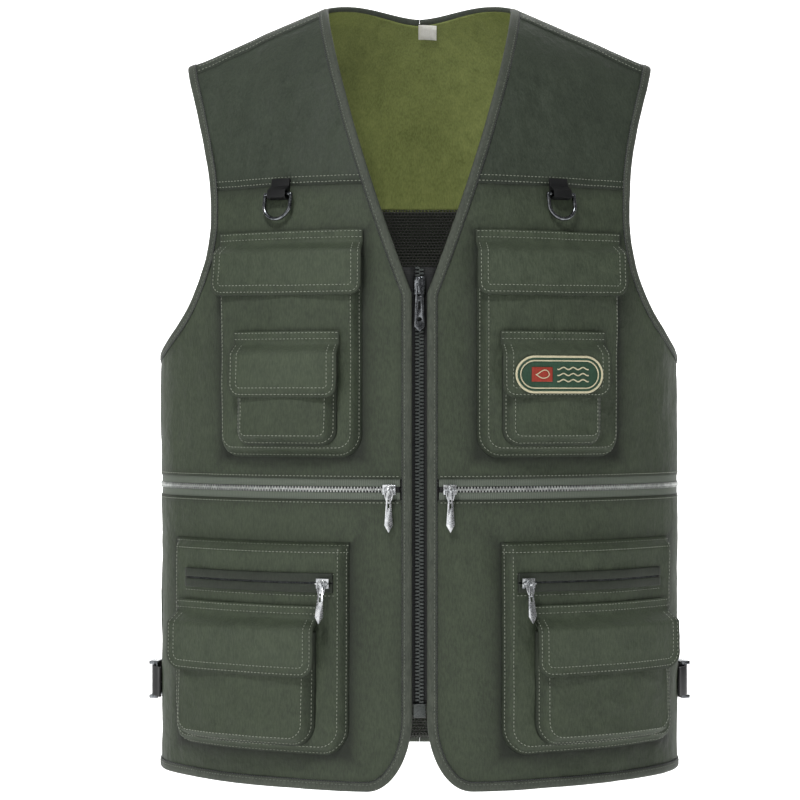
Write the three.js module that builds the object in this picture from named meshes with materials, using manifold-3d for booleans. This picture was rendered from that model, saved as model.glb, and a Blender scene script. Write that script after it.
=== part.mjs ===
// A multi-pocket fishing vest, standing as it hangs on a body: zipped front, bound edges, mesh lining,
// two chest pockets and two bellows pockets with flaps, waist zips, accessory rings and side adjusters.
// Millimetres, +Z up, the wearer faces -Y. The origin lies midway between the high shoulder points.
import * as THREE from 'three';
import { mergeVertices } from 'three/addons/utils/BufferGeometryUtils.js';
import Module from 'manifold-3d';

const wasm = await Module();
wasm.setup();

// ---- Body form -----------------------------------------------------------------------------------
const halfWidth = 229;          // from the centre to the side seam
const frontDepth = 135;         // from the side seam line forward to the zip
const backDepth = 122;          // from the side seam line back to the spine
const sideRadius = 70;          // plan radius of the body at the side seams
const neckX = 81;               // high shoulder point
const neckZ = -2;
const shoulderX = 206;          // shoulder tip
const shoulderSlope = 0.424;
const neckRound = 60;           // inside this the shoulder line rounds over the back of the neck
const shoulderDrop = 240;       // height over which the depth grows from nothing to full
const shoulderPower = 1.5;
const hemZ = -674;
const backNeckDip = 4.75;       // root of the drop of the back neckline below the ridge, at the centre

// ---- Cloth ---------------------------------------------------------------------------------------
const cloth = 2;                // shell panel thickness
const liningThick = 1;
const pocketCloth = 1.5;
const seam = 0.5;               // gap between pieces that are sewn edge to edge
const layer = 0.7;              // gap between pieces that lie on each other
const bindingWide = 8;
const bindingProud = 1;         // binding stands over the shell by this, inside and out
const bindingEase = 0.9;        // room for the facets where an edge curves
const neckCornerEase = 2.6;     // more room where the neckline turns at the shoulder

// ---- Seam levels ---------------------------------------------------------------------------------
const shoulderSeam = 3.5;       // root of the drop of the front shoulder seam below the ridge
const yokeZ = -170;
const vBottomZ = -262;          // where the neckline becomes the straight front edge
const frontEdgeX = 6.2;         // finished front edge, from the centre
const armholeX = 180;           // narrowest point of the chest between the armholes
const armholeWaistZ = -195;
const armholeBottomZ = -309;
const cornerTopZ = -611;        // where the front edge starts to round into the hem
const cornerWide = 38;

// ---- Front zip -----------------------------------------------------------------------------------
const zipTopZ = -240;
const zipBottomZ = -612;
const zipTapeWide = 15;
const zipTapeThick = 1.2;
const zipGap = 1.5;             // slot between the two rows of teeth
const toothWide = 2.8;
const toothThick = 3.4;
const zipStart = 8;             // from the top of the tape down to the slider
const boxHigh = 11;

// ---- Sliders and pulls ---------------------------------------------------------------------------
const sliderLong = 15;
const sliderRun = 0.4;          // clearance round the teeth
const plate = 1.3;              // thickness of a slider's plates
const lipWide = 1;              // a slider's side walls
const bridgeBar = 1.2;
const bridgeWide = 2.2;
const bridgeHalf = 5;
const rod = 0.8;                // half thickness of the front pull
const rodStand = 1.75;          // from a slider's plate to the middle of the front pull's bar
const pullTopHalf = 3;
const pullHalf = 4.2;
const pullShoulder = 34;
const pullLong = 38;
const pullWindow = 9;           // depth of the window that turns round the bridge
const pullSlot = { half: 1, top: 13, foot: 20 };
const pullHole = { down: 28, radius: 1.9 };
const sideSliderHalf = 5.5;
const postThick = 1.4;
const eyeInner = 1.2;           // eye of a side pull, round its bar
const eyeOuter = 2.5;
const eyeWide = 1.6;
const eyeRun = 0.4;
const tabTopHalf = 1.6;
const tabHalf = 3.4;
const tabTaper = 6;
const tabSlot = { half: 0.8, top: 6, foot: 13 };
const waistPullLong = 33;
const pocketPullLong = 31;
const pocketPullLean = 12;      // degrees out from the body

// ---- Waist zips ----------------------------------------------------------------------------------
const waistZ = -424;
const waistTapeHigh = 19;
const chainHigh = 5.4;
const chainProud = 1.4;
const waistZipInner = 16;
const waistSliderU = 25;
const waistSliderTravel = 38;   // degrees round the body

// ---- Chest pockets -------------------------------------------------------------------------------
const chestPocket = { inner: 47, wide: 132, top: -209, bottom: -398, flap: 54, rim: 8, deep: 10 };
const smallPocket = { inner: 66, wide: 88, top: -293, bottom: -388, flap: 55, rim: 7, deep: 8 };

// ---- Bellows pockets -----------------------------------------------------------------------------
const bellowsTop = -468;
const bellowsBottom = -645;
const bellowsWide = 174;
const bellowsInner = { left: 58, right: 68 };
const bellowsDeep = 8;
const weltZ = -501;
const weltIn = 12;              // from the pocket's inner edge to the welt
const weltLong = 140;
const weltSliderIn = 7;         // from the welt's end to its slider
const weltHigh = 16;
const weltSlot = 3;
const facePocketIn = 26;        // from the pocket's inner edge to the flap pocket on its face
const facePocket = { wide: 132, top: -520, bottom: -637, flap: 58, rim: 9, deep: 13 };

// ---- Pocket and flap construction ----------------------------------------------------------------
const wallRun = 6;              // a pocket wall leans in by this
const flapBand = 8;             // sewn band above the fold line
const rimDrop = 13;             // a pocket's rim lies this far under its flap's fold line
const flapRound = 3;
const flapLap = 2;              // an upper flap is wider than its pocket by this at each side

// ---- Rings, straps, badge, label -----------------------------------------------------------------
const ringU = 120;
const ringWide = 28;
const ringHigh = 25;
const ringWire = 3.5;
const tabWide = 17;
const tabThick = 1.4;
const tabDrop = 13;
const tabTuck = 6;              // how far the tab goes up under the yoke seam, from the bar
const tabNeck = 5;              // from the bar up to where the tab's two layers meet
const tabRun = 0.22;            // clearance round the square bar's corners as it turns
const strapHigh = 26;
const strapThick = 1.6;
const strapZ = -599;
const strapStand = 7;
const strapEnds = [-13, 52];    // degrees round the side, from the side seam towards the back
const strapFlat = [0, 40];
const buckleAt = 9;
const buckleTravel = 20;
const buckleLong = 20;
const buckleBar = 2.4;
const buckleRail = 3;
const barRun = 0.5;             // clearance between the strap's faces and the buckle's bars
const railRun = 0.6;            // clearance between the strap's edges and the buckle's rails
const badgeWide = 74;
const badgeHigh = 31;
const badgeThick = 1.2;
const badgeU = 110;             // middle of the badge round the body
const badgeZ = -329;
const labelWide = 17;
const labelHigh = 12;

// ---- Body surface --------------------------------------------------------------------------------

// A quarter of the plan section: a wide arc across the chest or back, tangent to the side arc.
function quarter(depth, facing) {
  const reach = halfWidth - sideRadius;
  const rise = depth - sideRadius;
  const centre = (reach ** 2 - rise ** 2) / (2 * rise);
  const radius = centre + depth;
  const turn = Math.atan2(reach, centre);
  const length = radius * turn + sideRadius * (Math.PI / 2 - turn);
  return { facing, reach, centre, radius, turn, length };
}
const front = quarter(frontDepth, -1);
const back = quarter(backDepth, 1);

function plan(face, u) {
  const bend = u / face.radius;
  if (bend <= face.turn) {
    return [face.radius * Math.sin(bend), face.radius * Math.cos(bend) - face.centre];
  }
  const angle = face.turn + (u - face.radius * face.turn) / sideRadius;
  return [face.reach + sideRadius * Math.sin(angle), sideRadius * Math.cos(angle)];
}

const girthAt = (face, x) => face.radius * Math.asin(x / face.radius);

function ridge(x) {
  const far = Math.max(Math.abs(x), neckRound);
  const near = Math.min(Math.abs(x), neckRound);
  const round = shoulderSlope * (neckRound ** 2 - near ** 2) / (2 * neckRound);
  return neckZ - shoulderSlope * (far - neckX) + round;
}

const drop = (face, u, z) => Math.sqrt(Math.max(ridge(plan(face, u)[0]) - z, 0));
const level = (face, u, v) => ridge(plan(face, u)[0]) - v * v;

// v is the root of the drop below the ridge, which keeps the form smooth over the shoulder.
function surface(face, u, v) {
  const [x, y] = plan(face, u);
  const left = Math.max(1 - v * v / shoulderDrop, 0);
  const share = Math.sqrt(1 - left ** shoulderPower);
  return new THREE.Vector3(x, face.facing * y * share, ridge(x) - v * v);
}

function slopes(face, u, v) {
  const step = 0.01;
  const low = Math.max(v - step, 0);
  const across = surface(face, u + step, v).sub(surface(face, u - step, v)).divideScalar(2 * step);
  const down = surface(face, u, v + step).sub(surface(face, u, low)).divideScalar(v + step - low);
  const out = new THREE.Vector3().crossVectors(across, down).multiplyScalar(face.facing).normalize();
  return { across, down, out };
}

function lift(face, u, v, d) {
  return surface(face, u, v).addScaledVector(slopes(face, u, v).out, d);
}

const wrap = (face, u, z, d) => lift(face, u, drop(face, u, z), d);

// ---- Closed solids -------------------------------------------------------------------------------

function volume(positions, index) {
  let sum = 0;
  for (let i = 0; i < index.length; i += 3) {
    const [a, b, c] = [index[i], index[i + 1], index[i + 2]].map((k) => positions[k]);
    sum += a.dot(new THREE.Vector3().crossVectors(b, c));
  }
  return sum;
}

function solid(positions, index) {
  if (volume(positions, index) < 0) index.reverse();
  const geometry = new THREE.BufferGeometry().setFromPoints(positions);
  geometry.setIndex(index);
  return geometry;
}

const quad = (a, b, c, d) => [a, b, c, a, c, d];

// A sheet with a thickness: place(a, b, face) gives the point, face 0 inside and 1 outside.
function sheet(across, down, place) {
  const positions = [];
  const index = [];
  const at = (i, j, k) => (k * (down.length) + j) * across.length + i;
  for (const face of [0, 1]) {
    for (const b of down) {
      for (const a of across) positions.push(place(a, b, face));
    }
  }
  const [m, n] = [across.length - 1, down.length - 1];
  for (let j = 0; j < n; j++) {
    for (let i = 0; i < m; i++) {
      index.push(...quad(at(i, j, 1), at(i, j + 1, 1), at(i + 1, j + 1, 1), at(i + 1, j, 1)));
      index.push(...quad(at(i, j, 0), at(i + 1, j, 0), at(i + 1, j + 1, 0), at(i, j + 1, 0)));
    }
  }
  for (let i = 0; i < m; i++) {
    index.push(...quad(at(i, 0, 0), at(i, 0, 1), at(i + 1, 0, 1), at(i + 1, 0, 0)));
    index.push(...quad(at(i, n, 0), at(i + 1, n, 0), at(i + 1, n, 1), at(i, n, 1)));
  }
  for (let j = 0; j < n; j++) {
    index.push(...quad(at(0, j, 0), at(0, j + 1, 0), at(0, j + 1, 1), at(0, j, 1)));
    index.push(...quad(at(m, j, 0), at(m, j, 1), at(m, j + 1, 1), at(m, j + 1, 0)));
  }
  return solid(positions, index);
}

// A section carried along frames of { origin, across, out }, open or in a loop.
function sweep(section, frames, loop = false) {
  const size = section.length;
  const positions = frames.flatMap((f) => section.map(([a, d]) =>
    f.origin.clone().addScaledVector(f.across, a).addScaledVector(f.out, d)));
  const index = [];
  const rounds = loop ? frames.length : frames.length - 1;
  for (let k = 0; k < rounds; k++) {
    const [here, next] = [k * size, ((k + 1) % frames.length) * size];
    for (let i = 0; i < size; i++) {
      const j = (i + 1) % size;
      index.push(...quad(here + i, here + j, next + j, next + i));
    }
  }
  if (!loop) {
    const outline = section.map(([a, d]) => new THREE.Vector2(a, d));
    const last = (frames.length - 1) * size;
    const turned = THREE.ShapeUtils.isClockWise(outline);
    for (const [a, b, c] of THREE.ShapeUtils.triangulateShape(outline, [])) {
      index.push(...(turned ? [a, b, c] : [a, c, b]));
      index.push(...(turned ? [last + a, last + c, last + b] : [last + a, last + b, last + c]));
    }
  }
  return solid(positions, index);
}

function toManifold(geometry) {
  const bare = geometry.clone();
  bare.deleteAttribute('normal');
  bare.deleteAttribute('uv');
  const merged = mergeVertices(bare, 1e-4);
  const vertProperties = new Float32Array(merged.attributes.position.array);
  const triVerts = new Uint32Array(merged.index.array);
  return new wasm.Manifold(new wasm.Mesh({ numProp: 3, vertProperties, triVerts }));
}

function fromManifold(body) {
  const mesh = body.getMesh();
  const geometry = new THREE.BufferGeometry();
  geometry.setAttribute('position', new THREE.BufferAttribute(mesh.vertProperties, 3));
  geometry.setIndex(new THREE.BufferAttribute(mesh.triVerts, 1));
  return geometry;
}

const join = (...parts) => fromManifold(parts.map(toManifold).reduce((a, b) => a.add(b)));
const cut = (body, ...tools) =>
  fromManifold(tools.map(toManifold).reduce((a, b) => a.subtract(b), toManifold(body)));

// A box between two corners.
function block([x0, x1], [y0, y1], [z0, z1]) {
  return new THREE.BoxGeometry(x1 - x0, y1 - y0, z1 - z0)
    .translate((x0 + x1) / 2, (y0 + y1) / 2, (z0 + z1) / 2);
}

// ---- Spacing -------------------------------------------------------------------------------------

const lerp = THREE.MathUtils.lerp;
const steps = (from, to, count) => Array.from({ length: count + 1 }, (_, i) => lerp(from, to, i / count));

// ---- Finished edges ------------------------------------------------------------------------------
// Each edge is a list of { face, u, z } stations on the body, in order.

const bezier = (points, count) => {
  const curve = new THREE.CubicBezierCurve(...points.map(([x, z]) => new THREE.Vector2(x, z)));
  return curve.getPoints(count);
};

function neckline(face, count) {
  return bezier([
    [neckX, neckZ],
    [neckX - 7, neckZ - 73],
    [frontEdgeX + 20, vBottomZ + 50],
    [frontEdgeX, vBottomZ],
  ], count).map((p) => ({ face, u: girthAt(face, p.x), z: Math.min(p.y, ridge(p.x)) }));
}

function armholeEdge(face, count) {
  const upper = bezier([
    [shoulderX, ridge(shoulderX)],
    [shoulderX - 9, ridge(shoulderX) - 40],
    [armholeX, armholeWaistZ + 55],
    [armholeX, armholeWaistZ],
  ], count);
  const side = face.length;
  const lower = bezier([
    [girthAt(face, armholeX), armholeWaistZ],
    [girthAt(face, armholeX), armholeWaistZ - 60],
    [side - 42, armholeBottomZ],
    [side, armholeBottomZ],
  ], count);
  return [
    ...upper.slice(0, -1).map((p) => ({ face, u: girthAt(face, p.x), z: p.y })),
    ...lower.map((p) => ({ face, u: p.x, z: p.y })),
  ];
}

function cornerEdge(count) {
  const high = cornerTopZ - hemZ;
  return steps(0, Math.PI / 2, count).map((t) => ({
    face: front,
    u: frontEdgeX + cornerWide * (1 - Math.cos(t)),
    z: cornerTopZ - high * Math.sin(t),
  }));
}

function backNeck(count) {
  return steps(0, 1, count).map((t) => {
    const u = girthAt(back, neckX * t);
    return { face: back, u, z: level(back, u, backNeckDip * (1 - t ** 1.75)) };
  });
}

const straight = (face, [u0, z0], [u1, z1], count) =>
  steps(0, 1, count).map((t) => ({ face, u: lerp(u0, u1, t), z: lerp(z0, z1, t) }));

// Frames along an edge, with "across" pointing into the cloth.
function edgeFrames(stations, loop = false) {
  const points = stations.map(({ face, u, z }) => wrap(face, u, z, 0));
  const count = stations.length;
  return stations.map(({ face, u, z }, i) => {
    const before = points[loop ? (i + count - 1) % count : Math.max(i - 1, 0)];
    const after = points[loop ? (i + 1) % count : Math.min(i + 1, count - 1)];
    const along = new THREE.Vector3().subVectors(after, before).normalize();
    const out = slopes(face, u, drop(face, u, z)).out;
    const across = new THREE.Vector3().crossVectors(out, along).normalize();
    return { origin: points[i], across, out, face, u, z };
  });
}

// The stations of an edge moved into the cloth by a width.
function inset(stations, width) {
  return edgeFrames(stations).map(({ across, face, u, z }) => {
    const v = drop(face, u, z);
    const s = slopes(face, u, Math.max(v, 0.5));
    const [aa, ad, dd] = [s.across.dot(s.across), s.across.dot(s.down), s.down.dot(s.down)];
    const [pa, pd] = [across.dot(s.across) * width, across.dot(s.down) * width];
    const det = aa * dd - ad * ad;
    const du = (pa * dd - pd * ad) / det;
    const dv = (pd * aa - pa * ad) / det;
    return { face, u: u + du, z: level(face, u + du, Math.max(v + dv, 0)), v: Math.max(v + dv, 0) };
  });
}

// The girth, or another measure, where an edge reaches a value of z, v or u.
function reach(line, key, value, want = 'u') {
  for (let i = 1; i < line.length; i++) {
    const [a, b] = [line[i - 1], line[i]];
    if ((a[key] - value) * (b[key] - value) <= 0 && a[key] !== b[key]) {
      return lerp(a[want], b[want], (value - a[key]) / (b[key] - a[key]));
    }
  }
  const [first, last] = [line[0], line.at(-1)];
  return Math.abs(first[key] - value) < Math.abs(last[key] - value) ? first[want] : last[want];
}

// The height of an edge at a girth, looking from its far end.
function levelOf(line, u) {
  for (let i = line.length - 1; i > 0; i--) {
    const [a, b] = [line[i - 1], line[i]];
    if ((a.u - u) * (b.u - u) <= 0 && a.u !== b.u) return lerp(a.z, b.z, (u - a.u) / (b.u - a.u));
  }
  return line.at(-1).z;
}

const edgeInset = bindingWide + seam + bindingEase;
const neckStations = [...backNeck(6), ...neckline(front, 14).slice(1)];
const frontEdgeStations = [
  ...straight(front, [frontEdgeX, vBottomZ], [frontEdgeX, cornerTopZ], 4).slice(1, -1),
  ...cornerEdge(8),
  ...straight(front, [frontEdgeX + cornerWide, hemZ], [front.length, hemZ], 12).slice(1),
];
const backHemStations = straight(back, [back.length, hemZ], [0, hemZ], 14).slice(1);
const frontInset = inset([...neckline(front, 14), ...frontEdgeStations], edgeInset);
const neckInset = inset(neckStations, edgeInset);
const armholeFront = armholeEdge(front, 10).reverse();
const armholeBack = armholeEdge(back, 10);
const armInsetFront = inset(armholeFront, edgeInset);
const armInsetBack = inset(armholeBack, edgeInset);

// ---- Model ---------------------------------------------------------------------------------------

const vest = new THREE.Group();

const finishes = {
  cloth: ['#4b5448', 0.9, 0],
  yoke: ['#3f4844', 0.9, 0],
  binding: ['#50554e', 0.85, 0],
  olive: ['#5a6336', 0.85, 0],
  mesh: ['#24251f', 0.9, 0],
  tape: ['#5d665c', 0.85, 0],
  black: ['#17181a', 0.6, 0],
  silver: ['#b9bcbe', 0.3, 1],
  gunmetal: ['#3a3b3d', 0.35, 1],
  badge: ['#2c4434', 0.8, 0],
  label: ['#e9e8e2', 0.8, 0],
};

function mirrored(geometry) {
  const flat = geometry.index ? geometry.clone() : mergeVertices(geometry);
  flat.scale(-1, 1, 1);
  const index = flat.index.array;
  for (let i = 0; i < index.length; i += 3) [index[i], index[i + 1]] = [index[i + 1], index[i]];
  return flat;
}

function add(name, geometry, finish) {
  const [color, roughness, metalness] = finishes[finish];
  const mesh = new THREE.Mesh(geometry, new THREE.MeshStandardMaterial({ color, roughness, metalness }));
  mesh.name = name;
  vest.add(mesh);
  return mesh;
}

// Adds a piece made at +X to either side, left and right as seen from the front.
function addSided(name, side, geometry, finish) {
  return add(`${name}_${side}`, side === 'left' ? mirrored(geometry) : geometry, finish);
}

const sides = ['left', 'right'];
const shell = (k) => (k ? 0 : -cloth);

// ---- Shell panels --------------------------------------------------------------------------------

// Rows follow the ridge at the shoulder and fade to a level line at the yoke seam.
const levelShare = (t) => Math.max(t * 2 - 1, 0) ** 2;

function rowDrop(face, x, v, t) {
  const foot = drop(face, girthAt(face, x), yokeZ + seam / 2);
  return lerp(v, foot, levelShare(t));
}

function frontYoke() {
  const foot = yokeZ + seam / 2;
  return sheet(steps(0, 1, 8), steps(0, 1, 9), (a, t, k) => {
    const [inner, outer] = [frontInset, armInsetFront].map((line) => {
      const last = drop(front, reach(line, 'z', foot), foot);
      const v = lerp(shoulderSeam, last, t);
      return [plan(front, reach(line, 'v', lerp(v, last, levelShare(t))))[0], v];
    });
    const x = lerp(inner[0], outer[0], a);
    const v = rowDrop(front, x, lerp(inner[1], outer[1], a), t);
    return lift(front, girthAt(front, x), v, shell(k));
  });
}

function frontChest() {
  const top = yokeZ - seam / 2;
  const foot = waistZ + waistTapeHigh / 2 + seam;
  const armFoot = armholeBottomZ - edgeInset;
  const rows = [
    ...steps(top, armFoot + 24, 8),
    armFoot + 12,
    armFoot + 5,
    armFoot + 1.5,
    armFoot,
    ...steps(armFoot, foot, 3).slice(1),
  ];
  const side = front.length - seam / 2;
  return sheet(steps(0, 1, 9), rows, (a, z, k) => {
    const outer = z > armFoot ? Math.min(reach(armInsetFront, 'z', z), side) : side;
    return wrap(front, lerp(reach(frontInset, 'z', z), outer, a), z, shell(k));
  });
}

function frontSkirt() {
  const start = frontEdgeX + edgeInset;
  const side = front.length - seam / 2;
  const curve = [0, 1.5, 4, 9, 17, 29].map((x) => start + x);
  const columns = [...curve, ...steps(start + 42, side, 11)];
  const top = waistZ - waistTapeHigh / 2 - seam;
  return sheet(columns, steps(0, 1, 5), (u, t, k) => {
    const foot = Math.max(levelOf(frontInset, u), hemZ + edgeInset);
    return wrap(front, u, lerp(top, foot, t), shell(k));
  });
}

// Half of the back yoke, from the front shoulder seam over the ridge and down to the yoke seam.
function halfYoke(rows, inside, outside) {
  const ridgeShare = 0.25;
  const neckShare = 0.6;
  const neckLine = neckInset.filter((p) => p.face === back).reverse();
  const centreTop = neckLine.at(-1).v;
  const foot = yokeZ + seam / 2;
  const frontEdgeAt = (line, v) => plan(front, reach(line, 'v', v))[0];
  const armAtV = (v) => plan(back, reach(armInsetBack, 'v', v))[0];
  const armEnd = drop(back, reach(armInsetBack, 'z', foot), foot);
  const ridgeX = [frontEdgeAt(neckInset.filter((p) => p.face === front), 0.01), armAtV(0.01)];
  const ends = (t) => {
    if (t <= ridgeShare) {
      const v = lerp(shoulderSeam - 0.05, 0, t / ridgeShare);
      const share = t / ridgeShare;
      const start = [frontEdgeAt(frontInset, shoulderSeam), frontEdgeAt(armInsetFront, shoulderSeam)];
      return [[lerp(start[0], ridgeX[0], share), v], [lerp(start[1], ridgeX[1], share), v]];
    }
    const down = (t - ridgeShare) / (1 - ridgeShare);
    const v = -armEnd * down;
    const armV = lerp(-v, armEnd, levelShare(t));
    const arm = [lerp(ridgeX[1], armAtV(armV), Math.min(down * 8, 1)), v];
    if (t <= neckShare) {
      const share = (t - ridgeShare) / (neckShare - ridgeShare);
      const x = lerp(ridgeX[0], 0, share);
      return [[x, -reach(neckLine, 'u', girthAt(back, x), 'v')], arm];
    }
    const share = (t - neckShare) / (1 - neckShare);
    return [[0, -lerp(centreTop, drop(back, 0, foot), share)], arm];
  };
  return sheet(steps(0, 1, 6), rows, (a, t, k) => {
    const [inner, outer] = ends(t);
    const corner = Math.max(1 - Math.abs(t - ridgeShare) / ridgeShare, 0);
    const x = lerp(inner[0] + neckCornerEase * Math.sqrt(corner), outer[0], a);
    const v = lerp(inner[1], outer[1], a);
    const face = v > 0 ? front : back;
    const down = v > 0 ? v : rowDrop(back, x, -v, t);
    return lift(face, girthAt(face, x), down, k ? outside : inside);
  });
}

const shoulderRows = [0, 0.125, ...steps(0.25, 0.6, 8), ...steps(0.6, 1, 5).slice(1)];
const liningOut = -cloth - layer;
const liningIn = liningOut - liningThick;
const oneYoke = halfYoke(shoulderRows, -cloth, 0);
const oneLining = halfYoke(shoulderRows.slice(2), liningIn, liningOut);

function backSheet(top, inside, outside) {
  const armFoot = armholeBottomZ - edgeInset;
  const rows = [
    ...steps(top, armFoot + 24, 8),
    armFoot + 12,
    armFoot + 5,
    armFoot + 1.5,
    armFoot,
    ...steps(armFoot, hemZ + edgeInset, 3).slice(1),
  ];
  const side = back.length - seam / 2;
  return sheet(steps(-1, 1, 18), rows, (a, z, k) => {
    const edge = z > armFoot ? Math.min(reach(armInsetBack, 'z', z), side) : side;
    const point = wrap(back, Math.abs(a) * edge, z, k ? outside : inside);
    if (a < 0) point.x *= -1;
    return point;
  });
}

for (const side of sides) {
  addSided('front_yoke', side, frontYoke(), 'yoke');
  addSided('front_chest', side, frontChest(), 'cloth');
  addSided('front_skirt', side, frontSkirt(), 'cloth');
}
add('back_yoke', join(oneYoke, mirrored(oneYoke)), 'yoke');
add('back_body', backSheet(yokeZ - seam / 2, -cloth, 0), 'cloth');
add('lining_yoke', join(oneLining, mirrored(oneLining)), 'olive');
add('lining_mesh', backSheet(yokeZ - seam / 2, liningIn, liningOut), 'mesh');

// ---- Edge bindings -------------------------------------------------------------------------------

const bindingSection = [
  [0, -cloth - bindingProud],
  [bindingWide, -cloth - bindingProud],
  [bindingWide, bindingProud],
  [0, bindingProud],
];
const halfSeam = new THREE.Vector3(seam / 2, 0, 0);
const edgeLoop = edgeFrames([...neckStations, ...frontEdgeStations, ...backHemStations]);
for (const end of [edgeLoop[0], edgeLoop.at(-1)]) end.origin.add(halfSeam);
const armholeLoop = edgeFrames([...armholeFront, ...armholeBack.slice(1, -1)], true);

for (const side of sides) {
  addSided('edge_binding', side, sweep(bindingSection, edgeLoop), 'binding');
  addSided('armhole_binding', side, sweep(bindingSection, armholeLoop, true), 'binding');
}

// ---- Zips ----------------------------------------------------------------------------------------

const tapeOut = -cloth - bindingProud - layer;
const tapeIn = tapeOut - zipTapeThick;
const tapeMiddle = (tapeOut + tapeIn) / 2;
const toothOut = tapeMiddle + toothThick / 2;
const toothIn = tapeMiddle - toothThick / 2;
const toothEnd = zipGap / 2 + toothWide;
const atFront = (d) => -frontDepth - d;

// The centre front is upright, so its tapes run straight down.
function frontTape() {
  const foot = zipBottomZ + boxHigh + sliderRun;
  const frames = [zipTopZ, foot].map((z) => ({
    origin: new THREE.Vector3(0, -frontDepth, z),
    across: new THREE.Vector3(1, 0, 0),
    out: new THREE.Vector3(0, -1, 0),
  }));
  return sweep([
    [zipGap / 2, toothIn],
    [toothEnd, toothIn],
    [toothEnd, tapeIn],
    [zipTapeWide, tapeIn],
    [zipTapeWide, tapeOut],
    [toothEnd, tapeOut],
    [toothEnd, toothOut],
    [zipGap / 2, toothOut],
  ], frames);
}

const sliderMiddle = zipTopZ - zipStart - sliderLong / 2;
const plateIn = toothOut + sliderRun;
const bridgeFoot = plateIn + plate;
const rodD = bridgeFoot + rodStand;

function frontSlider() {
  const half = toothEnd + sliderRun + lipWide;
  const y = (d0, d1) => [atFront(d1), atFront(d0)];
  const high = [sliderMiddle - sliderLong / 2, sliderMiddle + sliderLong / 2];
  const back0 = toothIn - sliderRun;
  const lips = [-1, 1].flatMap((s) => {
    const x = [s * (half - lipWide), s * half].sort((a, b) => a - b);
    return [
      block(x, y(tapeOut + sliderRun, plateIn + 0.1), high),
      block(x, y(back0 - 0.1, tapeIn - sliderRun), high),
    ];
  });
  const barIn = rodD + rodStand;
  const ends = [-1, 1].map((s) => {
    const z = [bridgeHalf, bridgeHalf + bridgeBar].map((reach) => sliderMiddle + s * reach);
    const foot = y(bridgeFoot - 0.1, barIn + bridgeBar);
    return block([-bridgeWide / 2, bridgeWide / 2], foot, z.sort((a, b) => a - b));
  });
  return join(
    block([-half, half], y(plateIn, bridgeFoot), high),
    block([-half, half], y(back0 - plate, back0), high),
    block([-0.4, 0.4], y(back0 - 0.1, plateIn + 0.1), [sliderMiddle + 1, high[1]]),
    block([-bridgeWide / 2, bridgeWide / 2], y(barIn, barIn + bridgeBar),
      [sliderMiddle - bridgeHalf, sliderMiddle + bridgeHalf]),
    ...lips,
    ...ends,
  );
}

function frontPull() {
  const outline = new THREE.Shape();
  outline.moveTo(-pullTopHalf, rod);
  outline.lineTo(-pullHalf, -pullShoulder);
  outline.lineTo(0, -pullLong);
  outline.lineTo(pullHalf, -pullShoulder);
  outline.lineTo(pullTopHalf, rod);
  const hole = (points) => new THREE.Path(points.map(([x, z]) => new THREE.Vector2(x, z)));
  const gap = bridgeWide / 2 + sliderRun;
  const opening = (half, top, foot) => hole([[-half, -top], [half, -top], [half, -foot], [-half, -foot]]);
  outline.holes.push(opening(gap, rod, pullWindow));
  outline.holes.push(opening(pullSlot.half, pullSlot.top, pullSlot.foot));
  const eye = new THREE.Path();
  eye.absarc(0, -pullHole.down, pullHole.radius, 0, Math.PI * 2);
  outline.holes.push(eye);
  return new THREE.ExtrudeGeometry(outline, { depth: 2 * rod, bevelEnabled: false, curveSegments: 6 })
    .translate(0, 0, -rod)
    .rotateX(Math.PI / 2)
    .translate(0, atFront(rodD), sliderMiddle);
}

function frontBox() {
  const half = toothEnd + sliderRun + lipWide;
  const y = [atFront(plateIn + plate), atFront(toothIn - sliderRun - plate)];
  return block([-half, half], y, [zipBottomZ, zipBottomZ + boxHigh]);
}

for (const side of sides) addSided('front_zip_tape', side, frontTape(), 'black');
add('front_zip_slider', frontSlider(), 'gunmetal');
add('front_zip_pull', frontPull(), 'gunmetal');
add('front_zip_box', frontBox(), 'black');

// A zip that runs round the body: a tape with its chain of teeth, a slider astride it, and a pull.
function ringFrames(z, from, to, count) {
  return steps(from, to, count).map((u) => ({
    origin: wrap(front, u, z, 0),
    across: new THREE.Vector3(0, 0, 1),
    out: slopes(front, u, drop(front, u, z)).out,
  }));
}

function chainTape(z, high, base, from, to, count) {
  const [tape, chain] = [high / 2, chainHigh / 2];
  const top = base + zipTapeThick;
  return sweep([
    [-tape, base],
    [tape, base],
    [tape, top],
    [chain, top],
    [chain, top + chainProud],
    [-chain, top + chainProud],
    [-chain, top],
    [-tape, top],
  ], ringFrames(z, from, to, count));
}

// Turns a piece made at the centre front round the upright axis of the front's arc.
const turned = (geometry, u) => geometry
  .translate(0, -front.centre, 0)
  .rotateZ(u / front.radius)
  .translate(0, front.centre, 0);

function sideSlider(z, base, u) {
  const top = base + zipTapeThick;
  const inner = top + chainProud + sliderRun;
  const face = inner + plate;
  const bar = face + eyeOuter + eyeRun;
  const wall = chainHigh / 2 + sliderRun;
  const y = (d0, d1) => [atFront(d1), atFront(d0)];
  const x = [-sideSliderHalf, sideSliderHalf];
  const half = bridgeBar / 2;
  const posts = [-1, 1].map((s) => {
    const span = [s * (sideSliderHalf - postThick), s * sideSliderHalf].sort((a, b) => a - b);
    return block(span, y(face - 0.1, bar + half), [z - half, z + half]);
  });
  return turned(join(
    block(x, y(inner, face), [z - wall - lipWide, z + wall + lipWide]),
    block(x, y(top + sliderRun, inner + 0.1), [z - wall - lipWide, z - wall]),
    block(x, y(top + sliderRun, inner + 0.1), [z + wall, z + wall + lipWide]),
    block(x, y(bar - half, bar + half), [z - half, z + half]),
    ...posts,
  ), u);
}

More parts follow.
